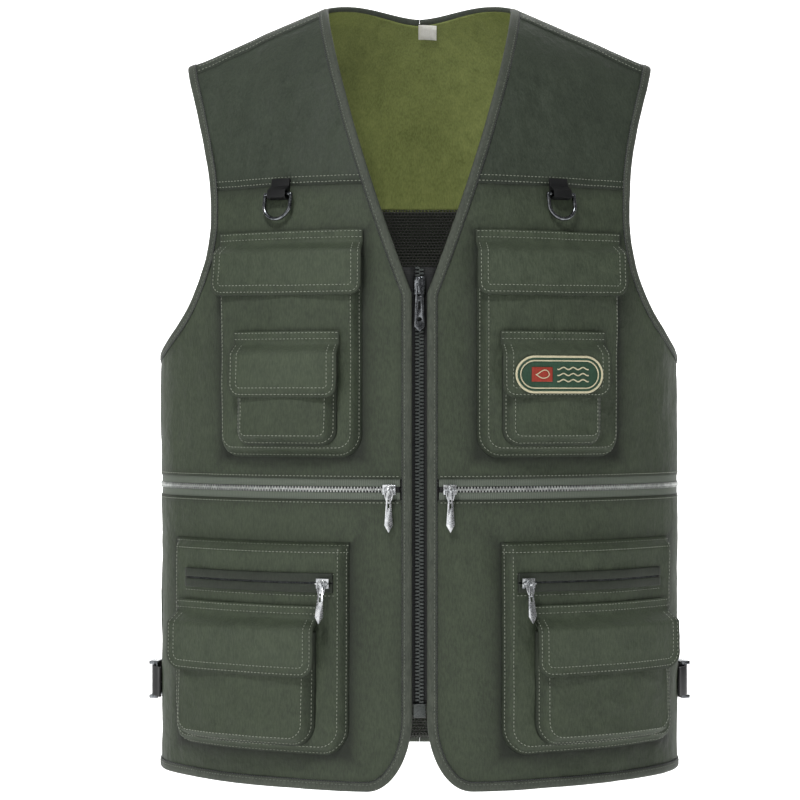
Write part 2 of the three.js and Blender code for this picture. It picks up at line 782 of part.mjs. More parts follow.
// An eye round the bridge and a tapered tab with a slot, leaning out from the body by an angle.
function sidePull(z, base, u, long, lean) {
  const bar = base + zipTapeThick + chainProud + sliderRun + plate + eyeOuter + eyeRun;
  const ring = new THREE.Shape();
  ring.absarc(0, 0, eyeOuter, 0, Math.PI * 2);
  const bore = new THREE.Path();
  bore.absarc(0, 0, eyeInner, 0, Math.PI * 2);
  ring.holes.push(bore);
  const eye = new THREE.ExtrudeGeometry(ring, { depth: eyeWide, bevelEnabled: false, curveSegments: 5 })
    .translate(0, 0, -eyeWide / 2)
    .rotateY(Math.PI / 2);
  const tab = new THREE.Shape();
  tab.moveTo(-tabTopHalf, 0);
  tab.lineTo(-tabHalf, -long + tabTaper);
  tab.lineTo(0, -long);
  tab.lineTo(tabHalf, -long + tabTaper);
  tab.lineTo(tabTopHalf, 0);
  const { half, top, foot } = tabSlot;
  const slot = [[-half, -top], [half, -top], [half, -foot], [-half, -foot]];
  tab.holes.push(new THREE.Path(slot.map(([a, b]) => new THREE.Vector2(a, b))));
  const blade = new THREE.ExtrudeGeometry(tab, { depth: eyeWide, bevelEnabled: false })
    .translate(0, 0, -eyeWide / 2)
    .rotateX(Math.PI / 2)
    .translate(0, 0, 0.3 - eyeOuter);
  return turned(join(eye, blade).rotateX(-lean).translate(0, atFront(bar), z), u);
}

const waistBase = -cloth;
const pullLean = THREE.MathUtils.degToRad(pocketPullLean);
for (const side of sides) {
  const to = front.length - seam;
  addSided('waist_zip', side, chainTape(waistZ, waistTapeHigh, waistBase, waistZipInner, to, 18), 'tape');
  addSided('waist_slider', side, sideSlider(waistZ, waistBase, waistSliderU), 'silver');
  addSided('waist_pull', side, sidePull(waistZ, waistBase, waistSliderU, waistPullLong, 0), 'silver');
}

// ---- Pockets -------------------------------------------------------------------------------------

const faceOf = (base, deep) => base + deep + pocketCloth;

// An open-topped or closed tray sewn round its edge; depth(t) runs from the rim to the foot.
function tray({ inner, wide, top, bottom }, base, depth, closed = false) {
  const across = [0, wallRun, ...steps(wallRun, wide - wallRun, 8).slice(1), wide];
  const high = top - bottom;
  const start = closed ? [0, wallRun] : [0];
  const down = [...start, ...steps(start.at(-1), high - wallRun, 4).slice(1), high];
  return sheet(across, down, (a, b, k) => {
    const sewn = a === 0 || a === wide || b === high || (closed && b === 0);
    const rise = sewn ? 0 : depth(b / high);
    return wrap(front, inner + a, top - b, base(b / high) + rise + (k ? pocketCloth : 0));
  });
}

// A flap from its fold line down, standing off enough to clear the pocket under it.
function flap(inner, wide, fold, long, low, high) {
  const across = [0, flapRound, ...steps(flapRound, wide - flapRound, 8).slice(1), wide];
  const down = [0, rimDrop * 0.35, rimDrop * 0.7, rimDrop * 0.9, long / 2, long - flapRound, long];
  return sheet(across, down, (a, b, k) => {
    const share = THREE.MathUtils.smoothstep(b, 0, rimDrop * 0.85);
    const corner = b === long && (a === 0 || a === wide) ? flapRound * 0.6 : 0;
    const shift = a === 0 ? corner : -corner;
    const depth = lerp(low, high, share) + (k ? pocketCloth : 0);
    return wrap(front, inner + a + shift, fold - b + corner, depth);
  });
}

const depthOf = ({ rim, deep }) => (t) => lerp(rim, deep, t);
const chestFace = (z) => {
  const rim = chestPocket.top - flapBand - rimDrop;
  const t = (rim - z) / (rim - chestPocket.bottom);
  return faceOf(layer, lerp(chestPocket.rim, chestPocket.deep, t));
};

function chestPieces() {
  const fold = chestPocket.top - flapBand;
  const body = { ...chestPocket, top: fold - rimDrop };
  const smallFold = smallPocket.top - flapBand;
  const small = { ...smallPocket, top: smallFold - rimDrop };
  const smallBase = (t) => chestFace(lerp(small.top, small.bottom, t)) + layer;
  const cover = chestFace(fold - chestPocket.flap + flapBand) + layer;
  const smallLow = chestFace(smallFold - rimDrop) + layer;
  const smallCover = faceOf(smallBase(0.4), smallPocket.deep) + layer;
  const [lidInner, lidWide] = [small.inner - flapLap, small.wide + 2 * flapLap];
  const [lidLong, smallLidLong] = [chestPocket.flap - flapBand, smallPocket.flap - flapBand];
  return {
    pocket: tray(body, () => layer, depthOf(chestPocket)),
    flap: flap(body.inner, body.wide, fold, lidLong, layer, cover),
    small: tray(small, smallBase, depthOf(smallPocket)),
    smallFlap: flap(lidInner, lidWide, smallFold, smallLidLong, smallLow, smallCover),
    smallOut: smallCover + pocketCloth,
  };
}

const chest = chestPieces();
for (const side of sides) {
  addSided('chest_pocket', side, chest.pocket, 'cloth');
  addSided('chest_flap', side, chest.flap, 'cloth');
  addSided('small_pocket', side, chest.small, 'cloth');
  addSided('small_flap', side, chest.smallFlap, 'cloth');
}

const bellowsFace = faceOf(layer, bellowsDeep);
for (const side of sides) {
  const inner = bellowsInner[side];
  const body = { inner, wide: bellowsWide, top: bellowsTop, bottom: bellowsBottom };
  const [from, to] = [inner + weltIn, inner + weltIn + weltLong];
  const mouth = sweep([
    [-weltSlot / 2, bellowsFace + 1],
    [weltSlot / 2, bellowsFace + 1],
    [weltSlot / 2, bellowsFace - pocketCloth - 1],
    [-weltSlot / 2, bellowsFace - pocketCloth - 1],
  ], ringFrames(weltZ, from + 4, to - 4, 8));
  addSided('bellows_pocket', side, cut(tray(body, () => layer, () => bellowsDeep, true), mouth), 'cloth');
  const base = bellowsFace + layer;
  const sliderU = from + weltSliderIn;
  addSided('pocket_zip', side, chainTape(weltZ, weltHigh, base, from, to, 10), 'tape');
  addSided('pocket_slider', side, sideSlider(weltZ, base, sliderU), 'silver');
  const pull = sidePull(weltZ, base, sliderU, pocketPullLong, pullLean);
  addSided('pocket_pull', side, pull, 'silver');
  const fold = facePocket.top - flapBand;
  const box = { ...facePocket, inner: inner + facePocketIn, top: fold - rimDrop };
  addSided('face_pocket', side, tray(box, () => base, depthOf(facePocket)), 'cloth');
  const cover = faceOf(base, lerp(facePocket.rim, facePocket.deep, 0.5)) + layer;
  const [lidInner, lidWide] = [box.inner - flapLap, box.wide + 2 * flapLap];
  const lid = flap(lidInner, lidWide, fold, facePocket.flap - flapBand, base, cover);
  addSided('face_flap', side, lid, 'cloth');
}

// ---- Rings, straps, badge and label --------------------------------------------------------------

// A local frame on the front: x level round the body, y into it, z up it.
function seat(geometry, u, z) {
  const v = drop(front, u, z);
  const { out } = slopes(front, u, v);
  const x = new THREE.Vector3(0, 0, 1).cross(out).normalize();
  const y = out.clone().negate();
  const up = new THREE.Vector3().crossVectors(x, y);
  const basis = new THREE.Matrix4().makeBasis(x, y, up).setPosition(lift(front, u, v, 0));
  return geometry.applyMatrix4(basis);
}

const barZ = yokeZ - tabDrop + tabThick + ringWire;
const tabGap = ringWire * Math.SQRT1_2 + tabRun;
const ringOut = seam + tabThick + tabGap;

function ring() {
  const round = (grow) => {
    const [half, high] = [ringWide / 2 + grow, ringHigh - ringWire / 2 + grow];
    const top = ringWire / 2 + grow;
    const side = high - half;
    return { half, top, side };
  };
  const outer = round(0);
  const shape = new THREE.Shape();
  shape.moveTo(outer.half, outer.top);
  shape.lineTo(-outer.half, outer.top);
  shape.lineTo(-outer.half, -outer.side);
  shape.absarc(0, -outer.side, outer.half, Math.PI, Math.PI * 2);
  const inner = round(-ringWire);
  const hole = new THREE.Path();
  hole.moveTo(inner.half, inner.top);
  hole.lineTo(-inner.half, inner.top);
  hole.lineTo(-inner.half, -outer.side);
  hole.absarc(0, -outer.side, inner.half, Math.PI, Math.PI * 2);
  shape.holes.push(hole);
  const body = new THREE.ExtrudeGeometry(shape, { depth: ringWire, bevelEnabled: false, curveSegments: 10 })
    .translate(0, 0, -ringWire / 2)
    .rotateX(Math.PI / 2)
    .translate(0, -ringOut, 0);
  return seat(body, ringU, barZ);
}

function ringTab() {
  const gap = tabGap;
  const [lowY, highY] = [-ringOut - gap, -ringOut + gap];
  const shape = new THREE.Shape();
  const point = (y, z) => new THREE.Vector2(-y, z);
  const top = tabDrop - tabThick - ringWire + tabTuck;
  shape.setFromPoints([
    point(highY + tabThick, top),
    point(highY + tabThick, -gap - tabThick),
    point(lowY - tabThick, -gap - tabThick),
    point(lowY - tabThick, gap),
    point(highY - 1, gap + tabNeck),
    point(highY - 1, top),
  ]);
  const hole = new THREE.Path([
    point(highY, gap),
    point(highY, -gap),
    point(lowY, -gap),
    point(lowY, gap),
  ]);
  shape.holes.push(hole);
  const body = new THREE.ExtrudeGeometry(shape, { depth: tabWide, bevelEnabled: false })
    .rotateX(Math.PI / 2)
    .rotateZ(-Math.PI / 2)
    .translate(tabWide / 2, 0, 0);
  return seat(body, ringU, barZ);
}

for (const side of sides) {
  addSided('accessory_ring', side, ring(), 'gunmetal');
  addSided('ring_tab', side, ringTab(), 'black');
}

const sideReach = halfWidth - sideRadius;
const degrees = THREE.MathUtils.degToRad;

function strapStandAt(angle) {
  const up = THREE.MathUtils.smoothstep(angle, strapEnds[0] + 1, strapFlat[0]);
  const down = 1 - THREE.MathUtils.smoothstep(angle, strapFlat[1], strapEnds[1] - 1);
  return lerp(layer, strapStand, Math.min(up, down));
}

function strap() {
  const angles = [
    ...steps(strapEnds[0], strapFlat[0], 5),
    ...steps(strapFlat[0], strapFlat[1], 8).slice(1),
    ...steps(strapFlat[1], strapEnds[1], 5).slice(1),
  ];
  const frames = angles.map((angle) => {
    const [c, s] = [Math.cos(degrees(angle)), Math.sin(degrees(angle))];
    const out = new THREE.Vector3(c, s, 0);
    const origin = new THREE.Vector3(sideReach, 0, strapZ)
      .addScaledVector(out, sideRadius + strapStandAt(angle));
    return { origin, across: new THREE.Vector3(0, 0, 1), out };
  });
  const half = strapHigh / 2;
  return sweep([[-half, 0], [half, 0], [half, strapThick], [-half, strapThick]], frames);
}

// A three-bar slide: two end bars behind the strap, one bar in front, and two rails past its edges.
function buckle() {
  const half = buckleLong / 2;
  const sag = half ** 2 / (2 * (sideRadius + strapStand));
  const inTop = strapStand - sag - barRun;
  const inBottom = inTop - buckleBar;
  const outBottom = strapStand + strapThick + barRun;
  const outTop = outBottom + buckleBar;
  const x = (d0, d1) => [halfWidth + d0, halfWidth + d1];
  const railIn = strapHigh / 2 + railRun;
  const railOut = railIn + buckleRail;
  const high = [strapZ - railOut, strapZ + railOut];
  const body = join(
    block(x(inBottom, inTop), [-half, -half + buckleBar], high),
    block(x(inBottom, inTop), [half - buckleBar, half], high),
    block(x(outBottom, outTop), [-buckleBar / 2, buckleBar / 2], high),
    block(x(inBottom, outTop), [-half, half], [strapZ - railOut, strapZ - railIn]),
    block(x(inBottom, outTop), [-half, half], [strapZ + railIn, strapZ + railOut]),
  );
  return body.translate(-sideReach, 0, 0).rotateZ(degrees(buckleAt)).translate(sideReach, 0, 0);
}

for (const side of sides) {
  addSided('adjuster_strap', side, strap(), 'black');
  addSided('adjuster_buckle', side, buckle(), 'gunmetal');
}

// A pill-shaped badge that follows the small flap.
function badge() {
  const radius = badgeHigh / 2;
  const flat = badgeWide / 2 - radius;
  const ends = [0, 0.25, 0.5, 0.75, 0.92].map((t) => radius * t);
  const across = [...ends.map((e) => -flat - e).reverse(), 0, ...ends.map((e) => flat + e)];
  return sheet(across, [-1, 0, 1], (a, b, k) => {
    const past = Math.max(Math.abs(a) - flat, 0);
    const half = Math.sqrt(radius ** 2 - past ** 2);
    return wrap(front, badgeU + a, badgeZ + b * half, chest.smallOut + layer + (k ? badgeThick : 0));
  });
}
add('badge', badge(), 'badge');

// A blank label hanging inside the back of the neck.
function neckLabel() {
  const top = backNeckDip + 0.2;
  const foot = Math.sqrt(top ** 2 + labelHigh);
  const out = liningIn - 2 * layer;
  return sheet(steps(-1, labelWide - 1, 3), steps(top, foot, 3), (x, v, k) =>
    lift(back, x, v, k ? out : out - 0.6));
}
add('neck_label', neckLabel(), 'label');

export default vest;
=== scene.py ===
import math
import bmesh
import bpy
import numpy as np
from mathutils import Matrix, Vector


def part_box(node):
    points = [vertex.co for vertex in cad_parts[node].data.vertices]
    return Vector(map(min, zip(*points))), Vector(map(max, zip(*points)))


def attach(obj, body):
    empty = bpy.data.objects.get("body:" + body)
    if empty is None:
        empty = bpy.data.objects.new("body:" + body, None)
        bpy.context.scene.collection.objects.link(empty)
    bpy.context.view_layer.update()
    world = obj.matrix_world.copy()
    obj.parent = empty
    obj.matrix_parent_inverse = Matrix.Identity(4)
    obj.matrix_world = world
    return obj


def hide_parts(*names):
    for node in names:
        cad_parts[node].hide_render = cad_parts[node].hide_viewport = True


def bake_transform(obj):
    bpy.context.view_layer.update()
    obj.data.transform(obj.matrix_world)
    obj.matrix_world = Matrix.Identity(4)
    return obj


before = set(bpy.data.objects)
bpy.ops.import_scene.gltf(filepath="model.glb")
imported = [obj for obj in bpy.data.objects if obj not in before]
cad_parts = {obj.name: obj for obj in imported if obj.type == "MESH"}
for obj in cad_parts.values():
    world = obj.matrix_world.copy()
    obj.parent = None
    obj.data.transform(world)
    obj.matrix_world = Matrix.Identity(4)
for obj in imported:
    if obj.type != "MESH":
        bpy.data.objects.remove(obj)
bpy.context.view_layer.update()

MM = 0.001

# ---- Body form: the same surface that the panels of the frame are cut from ----
HALF_WIDTH = 229 * MM
SIDE_RADIUS = 70 * MM
NECK_X = 81 * MM
NECK_Z = -2 * MM
SHOULDER_X = 206 * MM
SLOPE = 0.424
NECK_ROUND = 60 * MM
DROP = 240 * MM
DROP_POWER = 1.5
BACK_DIP = 22.6 * MM
HEM_Z = -674 * MM
YOKE_Z = -170 * MM
V_BOTTOM_Z = -262 * MM
EDGE_X = 6.2 * MM
ARM_X = 180 * MM
ARM_WAIST_Z = -195 * MM
ARM_FOOT_Z = -309 * MM
CORNER_Z = -611 * MM
CORNER_WIDE = 38 * MM
WAIST_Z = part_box("waist_zip_left")[0][2] / 2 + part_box("waist_zip_left")[1][2] / 2
BINDING = 8 * MM
TAPE_HALF = 9.5 * MM
RING_U = 120 * MM


class Face:
    """The front or the back of the body: a wide arc, tangent to the arc at the side."""
    def __init__(self, depth, facing):
        reach, rise = HALF_WIDTH - SIDE_RADIUS, depth - SIDE_RADIUS
        self.facing, self.reach = facing, reach
        self.centre = (reach ** 2 - rise ** 2) / (2 * rise)
        self.radius = self.centre + depth
        self.turn = math.atan2(reach, self.centre)
        self.length = self.radius * self.turn + SIDE_RADIUS * (math.pi / 2 - self.turn)

    def plan(self, u):
        bend = u / self.radius
        angle = self.turn + (u - self.radius * self.turn) / SIDE_RADIUS
        wide = bend <= self.turn
        x = np.where(wide, self.radius * np.sin(bend), self.reach + SIDE_RADIUS * np.sin(angle))
        y = np.where(wide, self.radius * np.cos(bend) - self.centre, SIDE_RADIUS * np.cos(angle))
        return x, y

    def girth(self, x):
        return self.radius * np.arcsin(x / self.radius)


FRONT, BACK = Face(135 * MM, -1), Face(122 * MM, 1)


def ridge(x):
    far = np.maximum(np.abs(x), NECK_ROUND)
    near = np.minimum(np.abs(x), NECK_ROUND)
    return NECK_Z - SLOPE * (far - NECK_X) + SLOPE * (NECK_ROUND ** 2 - near ** 2) / (2 * NECK_ROUND)


def bare(face, u, v):
    """The body at girth u and v, the root of the drop below the shoulder line."""
    x, y = face.plan(np.abs(u))
    left = np.maximum(1 - v * v / DROP, 0)
    share = np.sqrt(np.maximum(1 - left ** DROP_POWER, 0))
    return np.stack([np.sign(u + 1e-12) * x, face.facing * y * share, ridge(x) - v * v], -1)


def root_below(x, z):
    return np.sqrt(np.maximum(ridge(x) - z, 0))


def root_drop(face, u, z):
    return root_below(face.plan(np.abs(u))[0], z)


def outward(face, u, v):
    step, root = 1e-4, 1e-3
    across = bare(face, u + step, v) - bare(face, u - step, v)
    down = bare(face, u, v + root) - bare(face, u, np.maximum(v - root, 0))
    return unit(np.cross(across, down) * face.facing)


def unit(v):
    return v / np.linalg.norm(v, axis=-1, keepdims=True)


def lift(face, u, v, d):
    return bare(face, u, v) + outward(face, u, v) * np.asarray(d)[..., None]


def smooth(low, high, x):
    t = np.clip((x - low) / (high - low), 0, 1)
    return t * t * (3 - 2 * t)


def ripple(u, z, scale, seed):
    """Smooth cloth noise: a few turned waves whose phases come from the seed."""
    rng = np.random.default_rng(seed)
    total = 0
    for octave in range(5):
        for _ in range(4):
            turn, phase = rng.uniform(0, 2 * math.pi, 2)
            k = 2 * math.pi / scale * 1.7 ** octave
            total = total + 0.55 ** octave * np.sin(k * (u * math.cos(turn) + z * math.sin(turn)) + phase)
    return total / 6


def drape(face, u, z):
    """How far the shell stands off its form: soft folds, calm near the zips, the rings and the neck."""
    calm = smooth(0, 60 * MM, -z)
    if face is FRONT:
        ring = np.hypot(np.abs(u) - RING_U, z + 180 * MM)
        calm = calm * smooth(10 * MM, 50 * MM, np.abs(u)) * smooth(12 * MM, 40 * MM, ring)
        calm = calm * smooth(9 * MM, 50 * MM, np.abs(z - WAIST_Z))
    seed = 3 if face is FRONT else 9
    low = ripple(u * 1.6, z * 0.8, 170 * MM, seed)
    fine = ripple(u, z, 45 * MM, seed + 1)
    return (2 * MM * low + 0.6 * MM * fine - 0.6 * MM) * calm


def on_body(face, u, z, d):
    return lift(face, u, root_drop(face, u, z), d + drape(face, u, z))


# ---- Mesh helpers ----

def linked(name, data):
    obj = bpy.data.objects.new(name, data)
    bpy.context.scene.collection.objects.link(obj)
    return obj


def grid(name, nu, nv, place):
    """A grid whose vertices are put by place(a, b): a across, b from the top down."""
    bm = bmesh.new()
    bmesh.ops.create_grid(bm, x_segments=nu, y_segments=nv, size=0.5)
    mesh = bpy.data.meshes.new(name)
    bm.to_mesh(mesh)
    bm.free()
    flat = np.empty(len(mesh.vertices) * 3)
    mesh.vertices.foreach_get("co", flat)
    flat = flat.reshape(-1, 3)
    points, uv, edge = place(flat[:, 0] + 0.5, 0.5 - flat[:, 1])
    mesh.vertices.foreach_set("co", points.ravel())
    corners = np.empty(len(mesh.loops), dtype=int)
    mesh.loops.foreach_get("vertex_index", corners)
    mesh.uv_layers.new(name="cloth").data.foreach_set("uv", uv[corners].ravel())
    # The edge attribute carries painted shade, which the fabric shader mixes into the colour.
    mesh.attributes.new("edge", "FLOAT", "POINT").data.foreach_set("value", np.asarray(edge, dtype=float))
    mesh.polygons.foreach_set("use_smooth", [True] * len(mesh.polygons))
    mesh.update()
    return linked(name, mesh)


def thicken(obj, thickness):
    mod = obj.modifiers.new("wall", "SOLIDIFY")
    mod.thickness = thickness
    mod.offset = -1
    mod.use_even_offset = False
    return obj


def dress(obj, material, body=None, replaces=()):
    obj.data.materials.clear()
    obj.data.materials.append(material)
    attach(obj, body or ROOT)
    if replaces:
        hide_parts(*replaces)
    return obj


ROOT = "vest"
SIDES = {"left": -1, "right": 1}
BELLOWS_INNER = {"left": 58 * MM, "right": 68 * MM}
BELLOWS_TOP = -468 * MM
CHEST_AREA = (47 * MM, -209 * MM, 132 * MM, 189 * MM)
# Pocket areas round which the front panels get painted shade.
POCKET_SHADE_AREAS = {side: (CHEST_AREA, (start, BELLOWS_TOP, 174 * MM, 177 * MM))
           for side, start in BELLOWS_INNER.items()}


# ---- Edges of the cloth, as arrays along each edge ----

def bezier(points, count):
    t = np.linspace(0, 1, count)[:, None]
    a, b, c, d = [np.array(p) for p in points]
    return (1 - t) ** 3 * a + 3 * t * (1 - t) ** 2 * b + 3 * t * t * (1 - t) * c + t ** 3 * d


def neckline():
    """x and z from the high shoulder point down to the front edge."""
    return bezier([(NECK_X, NECK_Z), (NECK_X - 7 * MM, NECK_Z - 73 * MM),
                   (EDGE_X + 20 * MM, V_BOTTOM_Z + 50 * MM), (EDGE_X, V_BOTTOM_Z)], 60).T


def armhole(face):
    """u and z from the shoulder tip down to the foot of the armhole at the side."""
    tip = float(ridge(SHOULDER_X))
    high = bezier([(SHOULDER_X, tip), (SHOULDER_X - 9 * MM, tip - 40 * MM),
                   (ARM_X, ARM_WAIST_Z + 55 * MM), (ARM_X, ARM_WAIST_Z)], 40)
    start = float(face.girth(ARM_X))
    low = bezier([(start, ARM_WAIST_Z), (start, ARM_WAIST_Z - 60 * MM),
                  (face.length - 42 * MM, ARM_FOOT_Z), (face.length, ARM_FOOT_Z)], 40)
    upper = np.stack([face.girth(high[:-1, 0]), high[:-1, 1]], 1)
    return np.concatenate([upper, low]).T


def corner():
    t = np.linspace(0, math.pi / 2, 24)
    return EDGE_X + CORNER_WIDE * (1 - np.cos(t)), CORNER_Z - (CORNER_Z - HEM_Z) * np.sin(t)


def back_neck():
    """u and v from the middle of the back up to the high shoulder point."""
    t = np.linspace(0, 1, 30)
    return BACK.girth(NECK_X * t), np.sqrt(BACK_DIP) * (1 - t ** 1.75)


TUCK = 4 * MM


def inner_u(z):
    nx, nz = neckline()
    cx, cz = corner()
    x = np.concatenate([nx, [EDGE_X], cx])
    height = np.concatenate([nz, [CORNER_Z + MM], cz])
    return FRONT.girth(np.interp(-z, -height, x)) + TUCK


def outer_u(face, z):
    u, height = armhole(face)
    far = np.interp(-z, -height + TUCK * 0.6, u, right=face.length)
    return np.minimum(far, face.length) - TUCK * (z > ARM_FOOT_Z)


def shoulder_ends():
    """x and v down the neck edge and down the armhole of the front, just inside their bindings."""
    nx, nz = neckline()
    au, az = armhole(FRONT)
    ax = FRONT.plan(au)[0]
    return (nx + TUCK, root_below(nx, nz)), (ax - TUCK, root_below(ax, az))


def shoulder_rows(inner, outer, across, down, start, foot):
    """Rows that follow the shoulder line at the top and a level line at the foot."""
    ends = []
    for x, v in (inner, outer):
        last = np.sqrt(ridge(x) - foot)
        ends.append(np.interp(down, (v - start) / np.maximum(last - start, 1e-6), x))
    x = ends[0] + (ends[1] - ends[0]) * across
    last = np.sqrt(ridge(x) - foot)
    return x, start + (last - start) * down


SHOULDER_V = 3.5 * math.sqrt(MM)


def painted_pocket_shade(side, u, z):
    """Painted shade on the cloth round the pockets sewn on it: 1 at a pocket's edge, 0 a finger's width
    away, a quarter as strong above a pocket.
    """
    near = np.zeros_like(u)
    for inner, top, wide, high in POCKET_SHADE_AREAS[side]:
        p, q = u - inner, top - z
        far = np.maximum(np.maximum(-p, p - wide), np.maximum(-q, q - high))
        weight = np.where(-q >= far - 1e-9, 0.25, 1.0)
        near = np.maximum(near, weight * np.exp(-np.maximum(far, 0) / (7 * MM)))
    return near


def front_panel(side, name, top, foot, dense_foot=False):
    sign = SIDES[side]

    def place(a, b):
        across = a if sign > 0 else 1 - a
        if dense_foot:
            b = np.sin(b * math.pi / 2)
        z = top + (foot - top) * b
        low = inner_u(z)
        u = low + (outer_u(FRONT, z) - low) * across
        points = on_body(FRONT, sign * u, z, 0)
        # The edge attribute is painted shade: at 0.7 strength near the panel's top, foot and inner edge,
        # and full round the pockets sewn on it.
        seam = np.exp(-np.minimum(np.minimum(z - foot, top - z), u - low) / (5 * MM))
        return points, np.stack([sign * u, z], -1), np.maximum(seam * 0.7, painted_pocket_shade(side, u, z))
    return thicken(grid(f"{name}_{side}_cloth", 130, 120, place), 2 * MM)


def front_yoke(side):
    sign = SIDES[side]
    inner, outer = shoulder_ends()

    def place(a, b):
        across = a if sign > 0 else 1 - a
        x, v = shoulder_rows(inner, outer, across, b, SHOULDER_V * 0.9, YOKE_Z)
        u = sign * FRONT.girth(x)
        z = ridge(x) - v * v
        points = on_body(FRONT, u, z, 0)
        # The edge attribute is painted shade, darker towards the yoke seam at the foot.
        return points, np.stack([u, z], -1), np.exp(-(z - YOKE_Z) / (5 * MM))
    return thicken(grid(f"front_yoke_{side}_cloth", 44, 44, place), 2 * MM)


def back_top(name, d, wall):
    """The back yoke, or its lining, from the shoulder line and the neck down to the yoke seam."""
    bu, bv = back_neck()
    bx = BACK.plan(bu)[0]
    au, az = armhole(BACK)
    ax = BACK.plan(au)[0]
    arm_v = root_below(ax, az)
    tip = ax[0] - TUCK
    foot_z = YOKE_Z - 2 * MM

    def edge(x):
        return np.interp(x, bx, bv, right=0) + 0.012 * (x < NECK_X + 3 * MM)

    def place(a, b):
        across, sign = np.abs(1 - 2 * a), np.sign(1 - 2 * a + 1e-9)
        x = tip * across
        v = edge(x) + (np.sqrt(ridge(x) - foot_z) - edge(x)) * b
        wide = np.interp(v, arm_v, ax - TUCK)
        x = x * (1 + (wide / tip - 1) * smooth(0.3, 1, across))
        v = edge(x) + (np.sqrt(ridge(x) - foot_z) - edge(x)) * b
        points = on_body(BACK, sign * BACK.girth(x), ridge(x) - v * v, d + 0.3 * MM * smooth(0.5, 1, b))
        uv = np.stack([sign * x, ridge(x) - v * v], -1)
        # The edge attribute is painted shade, darker towards the yoke seam at the foot.
        return points, uv, np.exp(-(1 - b) * 30)
    return thicken(grid(name, 140, 60, place), wall)


def shoulder_strip(side):
    """The part of the back yoke that comes over the shoulder, down to the seam on the front."""
    sign = SIDES[side]
    inner, outer = shoulder_ends()

    def place(a, b):
        across = a if sign > 0 else 1 - a
        v = SHOULDER_V * b
        low = np.interp(v, inner[1], inner[0])
        x = low + (np.interp(v, outer[1], outer[0]) - low) * across
        u = sign * FRONT.girth(x)
        points = on_body(FRONT, u, ridge(x) - v * v, 0.4 * MM * smooth(0, 0.3, b))
        # The edge attribute is painted shade, darker towards the seam on the front.
        return points, np.stack([u, -v * v - 0.4], -1), np.exp(-(1 - b) * 8)
    return thicken(grid(f"shoulder_{side}", 44, 10, place), 2 * MM)


def back_panel(name, d, wall, top):
    def place(a, b):
        z = top + (HEM_Z + TUCK - top) * b
        u = (1 - 2 * a) * outer_u(BACK, z)
        points = on_body(BACK, u, z, d)
        # The edge attribute is painted shade, darker just below the yoke seam at the top.
        return points, np.stack([u, z], -1), np.exp(-(top - z) / (5 * MM))
    return thicken(grid(name, 110, 90, place), wall)


def front_lining(side):
    """The lining behind the front, from the shoulder seam to the hem."""
    sign = SIDES[side]

    def place(a, b):
        across = a if sign > 0 else 1 - a
        z = -0.02 + (HEM_Z + TUCK + 0.02) * b
        low = inner_u(z) + 2 * MM
        u = low + (outer_u(FRONT, z) - low) * across
        points = on_body(FRONT, sign * u, np.minimum(z, ridge(FRONT.plan(u)[0]) - 2 * MM), -2.7 * MM)
        return points, np.stack([sign * u, z], -1), np.zeros_like(z)
    return thicken(grid(f"front_lining_{side}", 40, 70, place), 0.8 * MM)


# ---- Swept pieces ----

def stations(*runs):
    """Points, outward directions and directions along a line of (face, u, z) or (face, u, v, "v") runs."""
    points, out = [], []
    for face, u, z, *how in runs:
        v = z if how else root_drop(face, u, z)
        points.append(lift(face, u, v, drape(face, u, ridge(face.plan(np.abs(u))[0]) - v * v)))
        out.append(outward(face, u, np.maximum(v, 1e-3)))
    return np.concatenate(points), np.concatenate(out)


def resample(points, out, pitch, closed=False):
    if closed:
        points, out = np.concatenate([points, points[:1]]), np.concatenate([out, out[:1]])
    run = np.concatenate([[0], np.cumsum(np.linalg.norm(np.diff(points, axis=0), axis=1))])
    keep = np.concatenate([[True], np.diff(run) > 1e-7])
    run, points, out = run[keep], points[keep], out[keep]
    count = max(int(round(run[-1] / pitch)), 2)
    at = np.linspace(0, run[-1], count + 1)
    new = np.stack([np.interp(at, run, points[:, k]) for k in range(3)], -1)
    direction = unit(np.stack([np.interp(at, run, out[:, k]) for k in range(3)], -1))
    return (new[:-1], direction[:-1]) if closed else (new, direction)


def sweep(name, points, out, section, turn=1, closed=False):
    """Carries a closed section of (across, out) pairs along a line. Turn, 1 or -1, sets its side."""
    if closed:
        along = np.roll(points, -1, 0) - np.roll(points, 1, 0)
        ring = np.concatenate([np.arange(len(points)), [0]])
    else:
        along = np.gradient(points, axis=0)
        ring = np.arange(len(points))
    across = unit(np.cross(out, unit(along)) * turn)
    shape = np.array(section + section[:1])
    girth = np.concatenate([[0], np.cumsum(np.linalg.norm(np.diff(shape, axis=0), axis=1))])
    length = np.concatenate([[0], np.cumsum(np.linalg.norm(np.diff(points[ring], axis=0), axis=1))])

    def place(a, b):
        i = np.rint(a * (len(shape) - 1)).astype(int)
        j = np.rint(b * (len(ring) - 1)).astype(int)
        k = ring[j]
        where = points[k] + across[k] * shape[i, :1] + out[k] * shape[i, 1:]
        return where, np.stack([girth[i], length[j]], -1), np.zeros(len(i))
    obj = grid(name, len(shape) - 1, len(ring) - 1, place)
    bm = bmesh.new()
    bm.from_mesh(obj.data)
    bmesh.ops.remove_doubles(bm, verts=bm.verts, dist=1e-6)
    rim = [e for e in bm.edges if e.is_boundary]
    if rim:
        bmesh.ops.holes_fill(bm, edges=rim)
    bmesh.ops.recalc_face_normals(bm, faces=bm.faces)
    for face in bm.faces:
        face.smooth = True
    bm.to_mesh(obj.data)
    bm.free()
    return obj


def oval(wide, high, count):
    """A round closed section."""
    return [(wide * math.cos(t), high * math.sin(t)) for t in np.linspace(0, 2 * math.pi, count + 1)[:-1]]


